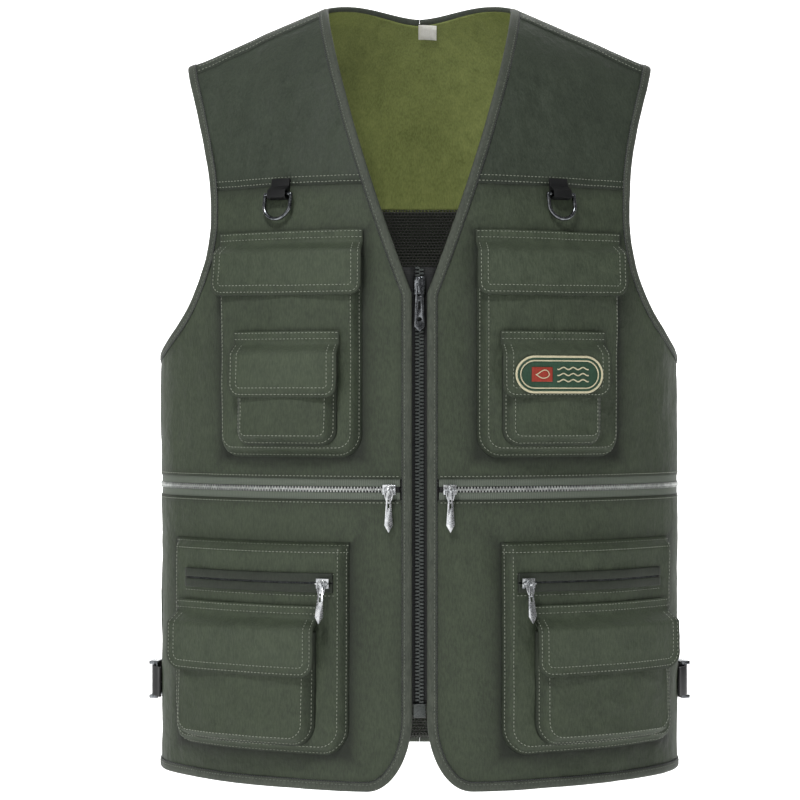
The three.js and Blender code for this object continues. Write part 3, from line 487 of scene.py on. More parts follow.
def tape_section(wide, low, high, puff=0.35 * MM, steps=7):
    """A flat folded tape: a round fold at 0 and a slightly raised middle on both faces."""
    middle, half = (low + high) / 2, (high - low) / 2
    fold = [(half * 0.9 * (1 - math.cos(t)), middle + half * math.sin(t))
            for t in np.linspace(-math.pi / 2, math.pi / 2, steps)]
    upper = [(wide * s, high + puff * math.sin(math.pi * s)) for s in (0.3, 0.5, 0.7, 0.88)]
    inner = [(wide, high - 0.35 * MM), (wide + 0.1 * MM, middle), (wide, low + 0.35 * MM)]
    lower = [(wide * s, low - puff * math.sin(math.pi * s)) for s in (0.88, 0.7, 0.5, 0.3)]
    return fold + upper + inner + lower


def edge_runs(sign):
    bu, bv = back_neck()
    nx, nz = neckline()
    cx, cz = corner()
    nu = FRONT.girth(nx)
    down = np.linspace(V_BOTTOM_Z, CORNER_Z, 60)[1:-1]
    hem = np.linspace(EDGE_X + CORNER_WIDE, FRONT.length, 60)[1:]
    back_hem = np.linspace(BACK.length, 0, 60)[1:]
    return [
        (BACK, sign * np.maximum(bu, 0.1 * MM), bv, "v"),
        (FRONT, sign * nu[1:], root_below(nx, nz)[1:], "v"),
        (FRONT, sign * np.full(58, EDGE_X), down),
        (FRONT, sign * FRONT.girth(cx), cz),
        (FRONT, sign * hem, np.full(59, HEM_Z)),
        (BACK, sign * np.maximum(back_hem, 0.1 * MM), np.full(59, HEM_Z)),
    ]


def arm_runs(sign):
    fu, fz = armhole(FRONT)
    bu, bz = armhole(BACK)
    return [(FRONT, sign * fu[::-1], fz[::-1]), (BACK, sign * bu[1:-1], bz[1:-1])]


# ---- Materials ----

class Sock:
    """A shader socket that can be added, multiplied and mixed."""
    def __init__(self, shader, socket):
        self.shader, self.socket = shader, socket

    def _math(self, operation, other, swap=False):
        a, b = (other, self) if swap else (self, other)
        return self.shader.node("Math", operation=operation, inputs=(a, b))

    def __add__(self, other):
        return self._math("ADD", other)

    def __sub__(self, other):
        return self._math("SUBTRACT", other)

    def __rsub__(self, other):
        return self._math("SUBTRACT", other, swap=True)

    def __mul__(self, other):
        return self._math("MULTIPLY", other)

    __radd__, __rmul__ = __add__, __mul__

    def of(self, operation, other=0.0):
        return self._math(operation, other)

    def step(self, low, high, out_low=0.0, out_high=1.0):
        return self.shader.node("MapRange", interpolation_type="SMOOTHSTEP",
                                inputs=(self, low, high, out_low, out_high))


class Shader:
    """A material with one Principled surface."""
    def __init__(self, name, **constants):
        self.material = bpy.data.materials.new(name)
        self.material.use_nodes = True
        self.tree = self.material.node_tree
        self.surface = self.tree.nodes["Principled BSDF"]
        for key, value in constants.items():
            self.surface.inputs[key.replace("_", " ")].default_value = value

    def node(self, kind, output=0, inputs=(), **settings):
        node = self.tree.nodes.new("ShaderNode" + kind)
        for key, value in settings.items():
            setattr(node, key, value)
        for socket, value in zip(node.inputs, inputs):
            self.feed(socket, value)
        return Sock(self, node.outputs[output])

    def feed(self, socket, value):
        """Links a socket, sets it, or leaves it alone where the value is None."""
        if isinstance(value, Sock):
            self.tree.links.new(value.socket, socket)
        elif value is not None:
            socket.default_value = value

    def coords(self, scale=(1, 1, 1), uv=None):
        source = self.node("UVMap", uv_map=uv) if uv else self.node("TexCoord", output=3)
        return self.node("Mapping", inputs=(source, None, None, scale))

    def noise(self, vector, scale, detail=3, rough=0.55):
        return self.node("TexNoise", inputs=(vector, None, scale, detail, rough))

    def wave(self, vector, pitch, direction):
        """Fine ridges, one every pitch."""
        scale = 2 * math.pi / pitch / 20
        return self.node("TexWave", output=1, inputs=(vector, scale), bands_direction=direction)

    def mix(self, share, a, b):
        return self.node("Mix", output=2, data_type="RGBA", inputs=(share, *[None] * 5, a, b))

    def set(self, name, value):
        self.feed(self.surface.inputs[name], value)

    def bump(self, height, distance, strength=1.0, over=None):
        bump = self.node("Bump")
        values = {"Strength": strength, "Distance": distance, "Height": height, "Normal": over}
        for name, value in values.items():
            self.feed(bump.socket.node.inputs[name], value)
        return bump


def rgb(code):
    """A display colour as linear RGBA."""
    parts = [int(code[i:i + 2], 16) / 255 for i in (1, 3, 5)]
    return tuple(((c + 0.055) / 1.055) ** 2.4 if c > 0.04045 else c / 12.92 for c in parts) + (1.0,)


def fabric(name, light, dark, rough=0.62, pitch=0.9 * MM, weave=0.1 * MM, sheen=0.05, crumple=1.5 * MM,
           deep=None, shade=0.0):
    """A plain weave: fine ridges both ways, mottling, small crumples, and painted shade: the colour darkens
    towards deep where the edge attribute marks seams and pocket edges.
    """
    s = Shader(name, Roughness=rough, Sheen_Weight=sheen, Sheen_Roughness=0.4, Specular_IOR_Level=0.28)
    s.surface.inputs["Sheen Tint"].default_value = rgb(light)
    cloth = s.coords(uv="cloth")
    thread = s.wave(cloth, pitch, "X") * 0.5 + s.wave(cloth, pitch, "Y") * 0.5
    place = s.coords()
    soft = s.noise(place, 14, 3)
    patchy = s.noise(place, 90, 4, 0.65)
    slub = s.noise(s.coords(scale=(1, 1, 0.25)), 900, 2)
    share = (soft.step(0.2, 0.8) * 0.25 + patchy.step(0.2, 0.8) * 0.35 + slub.step(0.3, 0.7) * 0.4)
    # Painted shade: the edge attribute, times shade, darkens the colour towards deep along seams and round
    # pockets.
    near = s.node("Attribute", output=2, attribute_name="edge")
    painted_shade_colour = s.mix(near.of("MINIMUM", 1.0) * shade, s.mix(share, rgb(dark), rgb(light)), rgb(deep or dark))
    s.set("Base Color", painted_shade_colour)
    s.set("Roughness", patchy.step(0.2, 0.8, rough - 0.07, rough + 0.08))
    folds = s.noise(s.coords(scale=(1, 1, 0.35)), 26, 4, 0.6)
    crease = s.bump(folds * 2.2 + s.noise(place, 75, 4, 0.6), crumple)
    s.set("Normal", s.bump(thread, weave, 0.8, over=crease))
    return s.material


def webbing(name, light, dark):
    """A ribbed narrow tape."""
    s = Shader(name, Roughness=0.6, Specular_IOR_Level=0.3)
    cloth = s.coords(uv="cloth")
    rib = s.wave(cloth, 1.6 * MM, "Y") * 0.6 + s.wave(cloth, 1.1 * MM, "X") * 0.4
    s.set("Base Color", s.mix(rib, rgb(dark), rgb(light)))
    s.set("Normal", s.bump(rib, 0.25 * MM, 0.9))
    return s.material


def open_mesh(name, light, dark, pitch=3.2 * MM, hole=0.36):
    """A knitted mesh: rows of round holes, every second row shifted by half a hole."""
    s = Shader(name, Roughness=0.7, Sheen_Weight=0.2)
    cloth = s.coords(uv="cloth", scale=(1 / pitch, 1 / pitch, 1))
    x = s.node("SeparateXYZ", inputs=(cloth,))
    y = s.node("SeparateXYZ", output=1, inputs=(cloth,)) * 1.15
    odd = (y.of("FLOOR") * 0.5).of("FRACT")
    px = (x + odd).of("FRACT") - 0.5
    py = y.of("FRACT") - 0.5
    far = (px * px + py * py).of("SQRT")
    s.set("Alpha", far.step(hole - 0.03, hole + 0.03))
    s.set("Base Color", s.mix(s.noise(s.coords(), 400), rgb(dark), rgb(light)))
    s.set("Normal", s.bump(far.step(hole, 0.62), 0.3 * MM, 0.8))
    return s.material


def metal(name, light, dark, rough):
    s = Shader(name, Metallic=1.0)
    place = s.coords()
    wear = s.noise(place, 260, 4)
    s.set("Base Color", s.mix(wear.step(0.3, 0.7), rgb(dark), rgb(light)))
    s.set("Roughness", s.noise(place, 900, 3).step(0.3, 0.7, rough - 0.06, rough + 0.09))
    return s.material


def moulding(name, colour, dark, rough):
    s = Shader(name, Specular_IOR_Level=0.4)
    place = s.coords()
    s.set("Base Color", s.mix(s.noise(place, 300, 3), rgb(dark), rgb(colour)))
    s.set("Roughness", s.noise(place, 700, 3).step(0.3, 0.7, rough - 0.06, rough + 0.08))
    s.set("Normal", s.bump(s.noise(place, 2500, 2), 0.03 * MM, 0.4))
    return s.material


def yarn(name, light, dark):
    s = Shader(name, Roughness=0.6, Sheen_Weight=0.2)
    place = s.coords()
    s.set("Base Color", s.mix(s.noise(place, 700, 2), rgb(dark), rgb(light)))
    s.set("Roughness", s.noise(place, 1200, 2).step(0.3, 0.7, 0.5, 0.68))
    return s.material


# deep and shade give the painted shade along seams and round pockets; light and dark are the cloth's own
# colours.
SHELL = fabric("shell_cloth", "#464f3e", "#2b3227", deep="#1b1f19", shade=0.85)
YOKE = fabric("yoke_cloth", "#3e463a", "#272e25", deep="#1b1f19", shade=0.6)
FLAP = fabric("flap_cloth", "#4a5342", "#2f372b", deep="#22261f", shade=0.6)
BIND = fabric("binding_twill", "#4e5349", "#31362f", pitch=1.3 * MM, weave=0.16 * MM, crumple=0.25 * MM)
OLIVE = fabric("olive_lining", "#8d9656", "#616b39", rough=0.5, sheen=0.2)
INSIDE = open_mesh("mesh_lining", "#33352d", "#1c1d19")
TAPE = webbing("zip_tape", "#656c61", "#4a5148")
DARK_TAPE = webbing("dark_tape", "#1b1c1c", "#0d0e0e")
LIP = fabric("welt_lip", "#343a30", "#20241e", rough=0.55, crumple=0.25 * MM)
WEB = webbing("strap_webbing", "#212224", "#0c0d0e")
TEETH = moulding("moulded_teeth", "#474c4a", "#2b2f2d", 0.3)
SILVER = metal("silver_metal", "#d6d8d9", "#aeb1b4", 0.26)
DARK_CHAIN = metal("dark_chain", "#4a4c4d", "#2e3031", 0.4)
CHAIN = metal("chain_metal", "#d2d5d1", "#a9acaa", 0.34)
GUN = metal("gunmetal", "#85888b", "#4e5154", 0.2)
THREAD = yarn("topstitch", "#969c8b", "#70766a")
DARK_THREAD = yarn("dark_stitch", "#23262a", "#121416")
BIND_THREAD = yarn("binding_stitch", "#6f746a", "#50554c")
CREAM = yarn("badge_border", "#d6cfae", "#a8a283")
BADGE = fabric("badge_cloth", "#33503e", "#223a2c", pitch=0.7 * MM, crumple=0.1 * MM)
PATCH = fabric("badge_block", "#a33a2c", "#7c2a20", pitch=0.7 * MM, crumple=0.1 * MM)
LABEL = fabric("label_cloth", "#f0efe9", "#dcdad0", pitch=0.5 * MM, crumple=0.15 * MM)


# ---- Pockets and flaps ----

class Patch:
    """A rectangle of cloth on the front: p runs outwards from its inner edge, q down from its top."""
    def __init__(self, side, inner, top, wide, high, maker, corner):
        self.inner, self.top, self.wide, self.high, self.corner = inner, top, wide, high, corner
        self.sign = SIDES[side]
        self.depth = maker(self)

    def at(self, p, q, extra=0.0):
        return on_body(FRONT, self.sign * (self.inner + p), self.top - q, self.depth(p, q) + extra)

    def normal(self, p, q):
        step = 0.5 * MM
        across = self.at(p + step, q) - self.at(p - step, q)
        down = self.at(p, q + step) - self.at(p, q - step)
        return unit(np.cross(across, down) * -self.sign)

    def nip(self, q):
        """How far the rounded lower corners come in, at the inner and at the outer edge."""
        return [r - np.sqrt(np.maximum(r * r - np.maximum(q - (self.high - r), 0) ** 2, 0))
                for r in self.corner]

    def outline(self, inset, top):
        """p and q along the sides and foot, a distance in from the edge."""
        r0, r1 = [max(r - inset, 1 * MM) for r in self.corner]
        low, wide = self.high - inset, self.wide - inset
        arc = np.linspace(0, math.pi / 2, 12)
        p = [np.full(20, inset), inset + r0 * (1 - np.cos(arc)), np.linspace(inset + r0, wide - r1, 60),
             wide - r1 + r1 * np.sin(arc), np.full(20, wide)]
        q = [np.linspace(top, low - r0, 20), low - r0 + r0 * np.sin(arc), np.full(60, low),
             low - r1 + r1 * np.cos(arc), np.linspace(low - r1, top, 20)]
        return np.concatenate(p), np.concatenate(q)

    def edge_far(self, p, q):
        inner, outer = self.nip(q)
        return np.minimum(np.minimum(p - inner, self.wide - outer - p), self.high - q)

    def cloth(self, name, nv, top, wall):
        """The cloth, with its rows of vertices closer together towards the foot."""
        def place(a, b):
            across = a if self.sign > 0 else 1 - a
            q = top + (self.high - top) * (1 - (1 - b) ** 1.5)
            inner, outer = self.nip(q)
            p = inner + (self.wide - inner - outer) * across
            # near is painted shade for the edge attribute: darker towards the sides and foot of the pocket
            # or flap.
            near = np.exp(-self.edge_far(p, q) / (4 * MM))
            return self.at(p, q), np.stack([self.sign * p, -q], -1), near
        return thicken(grid(name, 90, nv, place), wall)


def pouch(base, rim, deep, seed):
    """The depth of a sewn pocket: soft walls at the sides and foot, a fuller middle, small puckers."""
    def make(patch):
        def depth(p, q):
            far = patch.edge_far(p, q)
            rise = smooth(-1.5 * MM, 9 * MM, far)
            full = rim + (deep - rim) * np.clip(q / patch.high, 0, 1)
            span = np.clip(p / patch.wide, 0, 1)
            crown = 1.6 * MM * np.sin(math.pi * span) * rise
            fold = ripple(patch.sign * p, q, 60 * MM, seed) * 1.1 * MM * rise
            pucker = ripple(p, q, 13 * MM, seed + 7) * 0.45 * MM * np.exp(-np.abs(far - 3 * MM) / (6 * MM))
            under = base(patch.top - q) if callable(base) else base
            return under + rise * full + crown - 1.6 * MM + fold * 0.8 + pucker * smooth(0, 4 * MM, far)
        return depth
    return make


def lid(low, high, seed):
    """The depth of a flap, which clears the pocket's rim and stands off a little at its foot."""
    def make(patch):
        def depth(p, q):
            share = smooth(0, 12 * MM, q)
            t = np.clip(q / patch.high, 0, 1)
            span = np.clip(p / patch.wide, 0, 1)
            wave = ripple(patch.sign * p, q * 0.6, 70 * MM, seed)
            lift_off = (2 * MM * (0.4 + 0.5 * wave) + 0.8 * MM * np.cos(2 * math.pi * span)) * t ** 2
            pucker = ripple(p, q, 11 * MM, seed + 3) * 0.28 * MM * np.exp(-patch.edge_far(p, q) / (5 * MM))
            band = 0.9 * MM * (1 - smooth(-0.8 * MM, 1.6 * MM, q))
            return low + (high - low) * share + lift_off + pucker + band + 1.5 * MM
        return depth
    return make


def bellows(seed):
    """A pouch that lies flat along its top edge."""
    def make(patch):
        soft = pouch(LAYER, 9.5 * MM, 10 * MM, seed)(patch)

        def depth(p, q):
            return LAYER + (soft(p, q) - LAYER) * smooth(-1 * MM, 8 * MM, q)
        return depth
    return make


LAYER = 0.7 * MM
BAND = 8 * MM
TRAY = 8 * MM
WALL = 1.5 * MM
FLAP_DROP = 13 * MM
CHEST_MOUTH = CHEST_AREA[1] - BAND - FLAP_DROP
CHEST_FOOT = CHEST_AREA[1] - CHEST_AREA[3]
FACE_IN = 26 * MM
FACE_MOUTH = -541 * MM
SMALL_MOUTH = -314 * MM


def chest_face(z):
    """How far the front of a chest pocket stands off the shell at a level."""
    share = np.clip((CHEST_MOUTH - z) / (CHEST_MOUTH - CHEST_FOOT), 0, 1)
    return LAYER + TRAY + 2 * MM * share + WALL


def pocket_set(side):
    """Every pocket and flap of one side, as patches. A flap starts one drop above its pocket's mouth."""
    k = 1 if side == "left" else 2
    chest, bellow = CHEST_AREA[0], BELLOWS_INNER[side]
    face = bellow + FACE_IN
    base = LAYER + TRAY + WALL + LAYER
    small = pouch(lambda z: chest_face(z) + LAYER, 8.5 * MM, 9.5 * MM, 40 + k)
    face_lid = lid(base, 23.5 * MM, 90 + k)
    chest_lid, small_lid = lid(LAYER, 10.9 * MM, 30 + k), lid(11.6 * MM, 21.5 * MM, 50 + k)
    rows = {
        "chest_pocket": (chest, CHEST_MOUTH, 132, 168, pouch(LAYER, 9.5 * MM, 11 * MM, 20 + k), (20, 20)),
        "chest_flap": (chest - 0.5 * MM, CHEST_MOUTH + FLAP_DROP, 133, 46, chest_lid, (9, 12)),
        "small_pocket": (66 * MM, SMALL_MOUTH, 88, 74, small, (14, 14)),
        "small_flap": (64 * MM, SMALL_MOUTH + FLAP_DROP, 92, 47, small_lid, (10, 12)),
        "bellows_pocket": (bellow, BELLOWS_TOP, 174, 177, bellows(70 + k), (24, 20)),
        "face_pocket": (face, FACE_MOUTH, 132, 96, pouch(base, 10 * MM, 14 * MM, 80 + k), (20, 20)),
        "face_flap": (face - 2 * MM, FACE_MOUTH + FLAP_DROP, 136, 50, face_lid, (12, 14)),
    }
    return {name: Patch(side, inner, top, wide * MM, high * MM, maker, tuple(r * MM for r in corner))
            for name, (inner, top, wide, high, maker, corner) in rows.items()}


# ---- Stitching ----

class Seams:
    """Rows of stitches, gathered by body and thread, each stitch a small lozenge that lies on the cloth."""
    def __init__(self):
        self.rows = {}

    def add(self, body, points, out, kind="light", pitch=3.3 * MM, long=2.3 * MM, thick=0.36 * MM):
        points, out = resample(points, out, pitch)
        along = unit(np.gradient(points, axis=0))
        self.rows.setdefault((body, kind), []).append((points, out, along, long, thick))

    def on_patch(self, piece, body, inset, top):
        p, q = piece.outline(inset, top)
        self.add(body, piece.at(p, q, 0.1 * MM), piece.normal(p, q))

    def across_patch(self, piece, q):
        p = np.linspace(2 * MM, piece.wide - 2 * MM, 60)
        down = np.full(60, q)
        self.add(ROOT, piece.at(p, down, 0.1 * MM), piece.normal(p, down))

    def level(self, face, u, z):
        level = np.full(len(u), z)
        self.add(ROOT, on_body(face, u, level, 0.15 * MM), outward(face, u, root_drop(face, u, level)))

    def row(self, row, mesh):
        points, out, along, long, thick = row
        bm = bmesh.new()
        for point, normal, ahead in zip(points, out, along):
            side = unit(np.cross(normal, ahead))
            turn = Matrix((ahead * long / 2, side * thick, np.cross(ahead, side) * thick)).transposed()
            matrix = Matrix.Translation(point) @ turn.to_4x4()
            bmesh.ops.create_icosphere(bm, subdivisions=1, radius=1.0, matrix=matrix)
        bm.to_mesh(mesh)
        bm.free()

    def build(self):
        for (body, kind), rows in self.rows.items():
            bm = bmesh.new()
            for row in rows:
                mesh = bpy.data.meshes.new("row")
                self.row(row, mesh)
                bm.from_mesh(mesh)
                bpy.data.meshes.remove(mesh)
            bmesh.ops.recalc_face_normals(bm, faces=bm.faces)
            obj = finish_mesh(f"stitches_{kind}_{body}", bm)
            obj.data.materials.append({"light": THREAD, "dark": DARK_THREAD, "binding": BIND_THREAD}[kind])
            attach(obj, body)


# ---- Hard pieces ----

def finish_mesh(name, bm, smooth_faces=True):
    mesh = bpy.data.meshes.new(name)
    for face in bm.faces:
        face.smooth = smooth_faces
    bm.to_mesh(mesh)
    bm.free()
    return linked(name, mesh)


def rounded(obj, width, segments):
    mod = obj.modifiers.new("edges", "BEVEL")
    mod.width = width
    mod.segments = segments
    mod.limit_method = "ANGLE"
    mod.angle_limit = math.radians(35)
    mod.harden_normals = True
    return obj


def cast(node, material, body, width=0.3 * MM, segments=2):
    """A merged and bevelled copy of a hard piece of the frame."""
    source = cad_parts[node]
    bm = bmesh.new()
    bm.from_mesh(source.data)
    bm.transform(source.matrix_world)
    bmesh.ops.remove_doubles(bm, verts=bm.verts, dist=2e-6)
    bmesh.ops.dissolve_limit(bm, angle_limit=math.radians(1.5), verts=bm.verts, edges=bm.edges)
    bmesh.ops.recalc_face_normals(bm, faces=bm.faces)
    dress(rounded(finish_mesh(f"{node}_cast", bm), width, segments), material, body, [node])


def arc_frame(u, z, d):
    """Origin, level direction, outward direction and upward direction at a place on the front."""
    u = np.array([u])
    v = root_drop(FRONT, u, np.array([z]))
    out = outward(FRONT, u, v)[0]
    origin = lift(FRONT, u, v, np.array([d]))[0]
    level = unit(np.cross([0, 0, 1], out))
    return origin, level, out, np.cross(out, level)


def teeth_row(name, places, size, bevel):
    """Small blocks: places are (point, x, y, z) with x across the zip, y out of it, z along it."""
    bm = bmesh.new()
    for point, *axes in places:
        turn = Matrix(axes).transposed().to_4x4()
        matrix = Matrix.Translation(point) @ turn @ Matrix.Diagonal((*size, 1))
        bmesh.ops.create_cube(bm, size=1.0, matrix=matrix)
    return rounded(finish_mesh(name, bm), bevel, 1)


def wire(name, points, radius):
    """A round wire along a closed line in a plane."""
    points = np.array(points)
    middle = points.mean(0)
    normal = np.zeros(3)
    for a, b in zip(points, np.roll(points, -1, 0)):
        normal += np.cross(a - middle, b - middle)
    points, out = resample(points, np.tile(unit(normal), (len(points), 1)), 0.8 * MM, closed=True)
    return sweep(name, points, out, oval(radius, radius, 12), closed=True)


# ---- The vest ----

SEAMS = Seams()
TOP_WAIST = WAIST_Z + TAPE_HALF - 1 * MM
FOOT_WAIST = WAIST_Z - TAPE_HALF + 1 * MM


def shell(side):
    sign = SIDES[side]
    yoke = dress(front_yoke(side), YOKE, replaces=[f"front_yoke_{side}"])
    chest = dress(front_panel(side, "front_chest", YOKE_Z, TOP_WAIST), SHELL,
                  replaces=[f"front_chest_{side}"])
    skirt = dress(front_panel(side, "front_skirt", FOOT_WAIST, HEM_Z + TUCK, True), SHELL,
                  replaces=[f"front_skirt_{side}"])
    strip = dress(shoulder_strip(side), YOKE)
    lining = dress(front_lining(side), INSIDE)
    for run, name, closed in ((edge_runs(sign), "edge_binding", False),
                              (arm_runs(sign), "armhole_binding", True)):
        points, out = resample(*stations(*run), 2.5 * MM, closed=closed)
        tape = sweep(f"{name}_{side}_tape", points, out, tape_section(BINDING, -3 * MM, 1 * MM),
                     turn=sign, closed=closed)
        dress(tape, BIND, replaces=[f"{name}_{side}"])


def binding_seams(side):
    sign = SIDES[side]
    for run, closed in ((edge_runs(sign), False), (arm_runs(sign), True)):
        points, out = resample(*stations(*run), 1.5 * MM, closed=closed)
        across = unit(np.cross(out, np.gradient(points, axis=0)) * sign)
        SEAMS.add(ROOT, points + across * (BINDING + 0.15 * MM) + out * 0.55 * MM, out, kind="dark",
                  pitch=2.2 * MM, long=2.5 * MM, thick=0.5 * MM)
        SEAMS.add(ROOT, points + across * (BINDING - 1.9 * MM) + out * 1.3 * MM, out, kind="binding",
                  thick=0.26 * MM)


def body_seams(side):
    sign = SIDES[side]
    yoke_rows = YOKE_Z + 2.6 * MM, YOKE_Z + 7.5 * MM
    for z in yoke_rows:
        start, end = float(inner_u(z)) + 6 * MM, float(outer_u(FRONT, z)) - 5 * MM
        SEAMS.level(FRONT, np.linspace(start, end, 80) * sign, z)
    arm_x, arm_v = shoulder_ends()[1]
    tip = np.interp(SHOULDER_V, arm_v, arm_x + TUCK)
    u = FRONT.girth(np.linspace(NECK_X + 7 * MM, tip - 9 * MM, 60)) * sign
    for v in (SHOULDER_V - 0.016, SHOULDER_V - 0.045):
        root = np.full(60, v)
        d = drape(FRONT, u, ridge(FRONT.plan(np.abs(u))[0]) - root ** 2) + 0.5 * MM
        SEAMS.add(ROOT, lift(FRONT, u, root, d), outward(FRONT, u, root))
    for z in (TOP_WAIST + 2.4 * MM, FOOT_WAIST - 2.4 * MM):
        SEAMS.level(FRONT, np.linspace(float(inner_u(z)) + 8 * MM, FRONT.length - 2 * MM, 120) * sign, z)
    for z in yoke_rows:
        SEAMS.level(BACK, np.linspace(0.2 * MM, float(outer_u(BACK, YOKE_Z)) - 5 * MM, 80) * sign, z)


def back():
    yoke = dress(back_top("back_yoke_cloth", 0, 2 * MM), YOKE, replaces=["back_yoke"])
    lining = dress(back_top("lining_yoke_cloth", -2.7 * MM, 0.9 * MM), OLIVE,
                   replaces=["lining_yoke"])
    body = dress(back_panel("back_body_cloth", 0, 2 * MM, YOKE_Z), SHELL,
                 replaces=["back_body"])
    mesh = dress(back_panel("lining_mesh_cloth", -2.7 * MM, 0.9 * MM, YOKE_Z), INSIDE,
                 replaces=["lining_mesh"])


def front_zip():
    low, high, pitch = -612 * MM, -240 * MM, 3 * MM
    face_y = -135 * MM + 4.3 * MM
    wide, thick = 14.25 * MM, 0.6 * MM
    section = [(0.0, -thick), (0.0, thick), (13.8 * MM, thick), (wide, 0), (13.8 * MM, -thick)]
    z = np.linspace(high, low + 11 * MM, 60)
    out = np.tile([0.0, -1.0, 0.0], (60, 1))
    count = int((high - low - 12 * MM) / pitch)
    for side, sign in SIDES.items():
        points = np.stack([np.full(60, sign * 0.75 * MM), np.full(60, face_y), z], -1)
        tape = sweep(f"front_zip_{side}_cloth", points, out, section, turn=sign)
        dress(tape, DARK_TAPE, replaces=[f"front_zip_tape_{side}"])
        first = high - 1 * MM - (pitch / 2 if sign > 0 else 0)
        places = [(Vector((sign * 1.6 * MM, face_y, first - pitch * i)), (1, 0, 0), (0, 1, 0), (0, 0, 1))
                  for i in range(count)]
        teeth = teeth_row(f"front_teeth_{side}", places, (3.9 * MM, 3.3 * MM, 1.9 * MM), 0.45 * MM)
        dress(teeth, TEETH)
    cast("front_zip_slider", GUN, "front_slider", 0.35 * MM)
    cast("front_zip_pull", GUN, "front_pull")
    cast("front_zip_box", TEETH, ROOT, 0.6 * MM)


def metal_chain(name, z, start, end, d, sign, material):
    """Two rows of narrow metal teeth round the body, meeting at the level z."""
    pitch = 2.7 * MM
    places = []
    count = int((end - start) / pitch)
    u = start + pitch * (np.arange(count) + 0.5)
    for row in (-1, 1):
        at = sign * (u + (pitch / 2 if row > 0 else 0))
        level = np.full(count, z + row * 0.75 * MM)
        v = root_drop(FRONT, at, level)
        for p, o in zip(lift(FRONT, at, v, d(at, level)), outward(FRONT, at, v)):
            along = Vector((0, 0, 1)).cross(Vector(o)).normalized()
            places.append((Vector(p), Vector((0, 0, 1)), Vector(o), along))
    dress(teeth_row(name, places, (3.1 * MM, 1.5 * MM, 1.3 * MM), 0.3 * MM), material)


def level_line(sign, start, end, z, d):
    """Points round the front at one level, lifted by d(u, level), and their outward directions."""
    u = sign * np.linspace(start, end, 90)
    level = np.full(90, z)
    v = root_drop(FRONT, u, level)
    return lift(FRONT, u, v, d(u, level)), outward(FRONT, u, v)


def link(side, zone, u, z, bar, lean):
    """The drop-shaped wire link at the head of a pull."""
    origin, level, out, up = arc_frame(SIDES[side] * u, z, bar)
    down = -up * math.cos(lean) + out * math.sin(lean)
    wide, long = 3 * MM, 6.6 * MM
    turn = np.linspace(0, 2 * math.pi, 40)[:-1, None]
    points = (origin + down * (4 * MM + long * np.cos(turn))
              + level * wide * np.sin(turn) * (1 - 0.25 * np.cos(turn)))
    dress(wire(f"{zone}_link_{side}", points, 0.75 * MM), SILVER, f"{zone}_pull_{side}")


def slider_and_pull(zone, side):
    for node in (f"{zone}_slider_{side}", f"{zone}_pull_{side}"):
        cast(node, SILVER, node)


def waist(side):
    """The zip round the waist: a tape with a raised bed in its middle, metal teeth, slider and pull."""
    sign = SIDES[side]
    name = f"waist_zip_{side}"
    start, end = 16 * MM, FRONT.length - 0.5 * MM
    sunk, thick, middle = -2 * MM, 1.2 * MM, 1.8 * MM
    link(side, "waist", 25 * MM, WAIST_Z, 5.2 * MM, 0.0)
    points, out = level_line(sign, start, end, WAIST_Z, lambda u, z: sunk + 0 * u)
    section = [(-TAPE_HALF, 0), (-TAPE_HALF, thick), (-middle, thick), (middle, thick), (TAPE_HALF, thick),
               (TAPE_HALF, 0)]
    strip = rounded(sweep(f"{name}_strip", points, out, section, turn=sign), 0.3 * MM, 1)
    dress(strip, TAPE, replaces=[name])
    section = [(-2.6 * MM, 0.0), (-2.4 * MM, 0.6 * MM), (2.4 * MM, 0.6 * MM), (2.6 * MM, 0.0)]
    dress(sweep(f"{name}_bed", points + out * 0.75 * MM, out, section, turn=sign), DARK_TAPE)
    metal_chain(f"{name}_teeth", WAIST_Z, start + 3 * MM, end - 4 * MM,
                lambda u, z: sunk + 1.6 * MM, sign, CHAIN)
    slider_and_pull("waist", side)


def pocket_zip(side, bellow):
    """The welted zip near the top of a bellows pocket: a dark bed, two lips, teeth, slider and pull."""
    sign = SIDES[side]
    start, long, z = bellow.inner + 12 * MM, 140 * MM, -501 * MM

    def face(u, level):
        return bellow.depth(np.abs(u) - bellow.inner, bellow.top - level) + drape(FRONT, u, level)

    points, out = level_line(sign, start, start + long, z, lambda u, level: face(u, level) + 0.5 * MM)
    half = 8 * MM
    section = [(-half, -1 * MM), (-half, 0.4 * MM), (half, 0.4 * MM), (half, -1 * MM)]
    dress(sweep(f"pocket_zip_{side}_bed", points, out, section, turn=sign), DARK_TAPE,
          replaces=[f"pocket_zip_{side}"])
    slot, turn = 0.7 * MM, np.linspace(0, 2 * math.pi, 17)[:-1]
    across = (half - slot) / 2 * np.sign(np.cos(turn)) * np.abs(np.cos(turn)) ** 0.5
    height = (1.15 + 0.85 * np.sign(np.sin(turn)) * np.abs(np.sin(turn)) ** 0.7) * MM
    for part, way in (("upper", 1), ("lower", -1)):
        middle = way * (half + slot) / 2
        lip = sweep(f"welt_{part}_{side}", points, out, list(zip(middle + across, height)), turn=sign)
        dress(lip, LIP)
    metal_chain(f"pocket_zip_{side}_teeth", z, start + 3 * MM, start + long - 3 * MM,
                lambda u, level: face(u, level) + 0.9 * MM, sign, DARK_CHAIN)
    for edge in (7.2 * MM, -10.6 * MM):
        row, _ = level_line(sign, start, start + long, z + edge,
                            lambda u, level: face(u, level) + 0.15 * MM)
        SEAMS.add(ROOT, row, out)
    link(side, "pocket", start + 7 * MM, z, 18.1 * MM, math.radians(12))
    slider_and_pull("pocket", side)


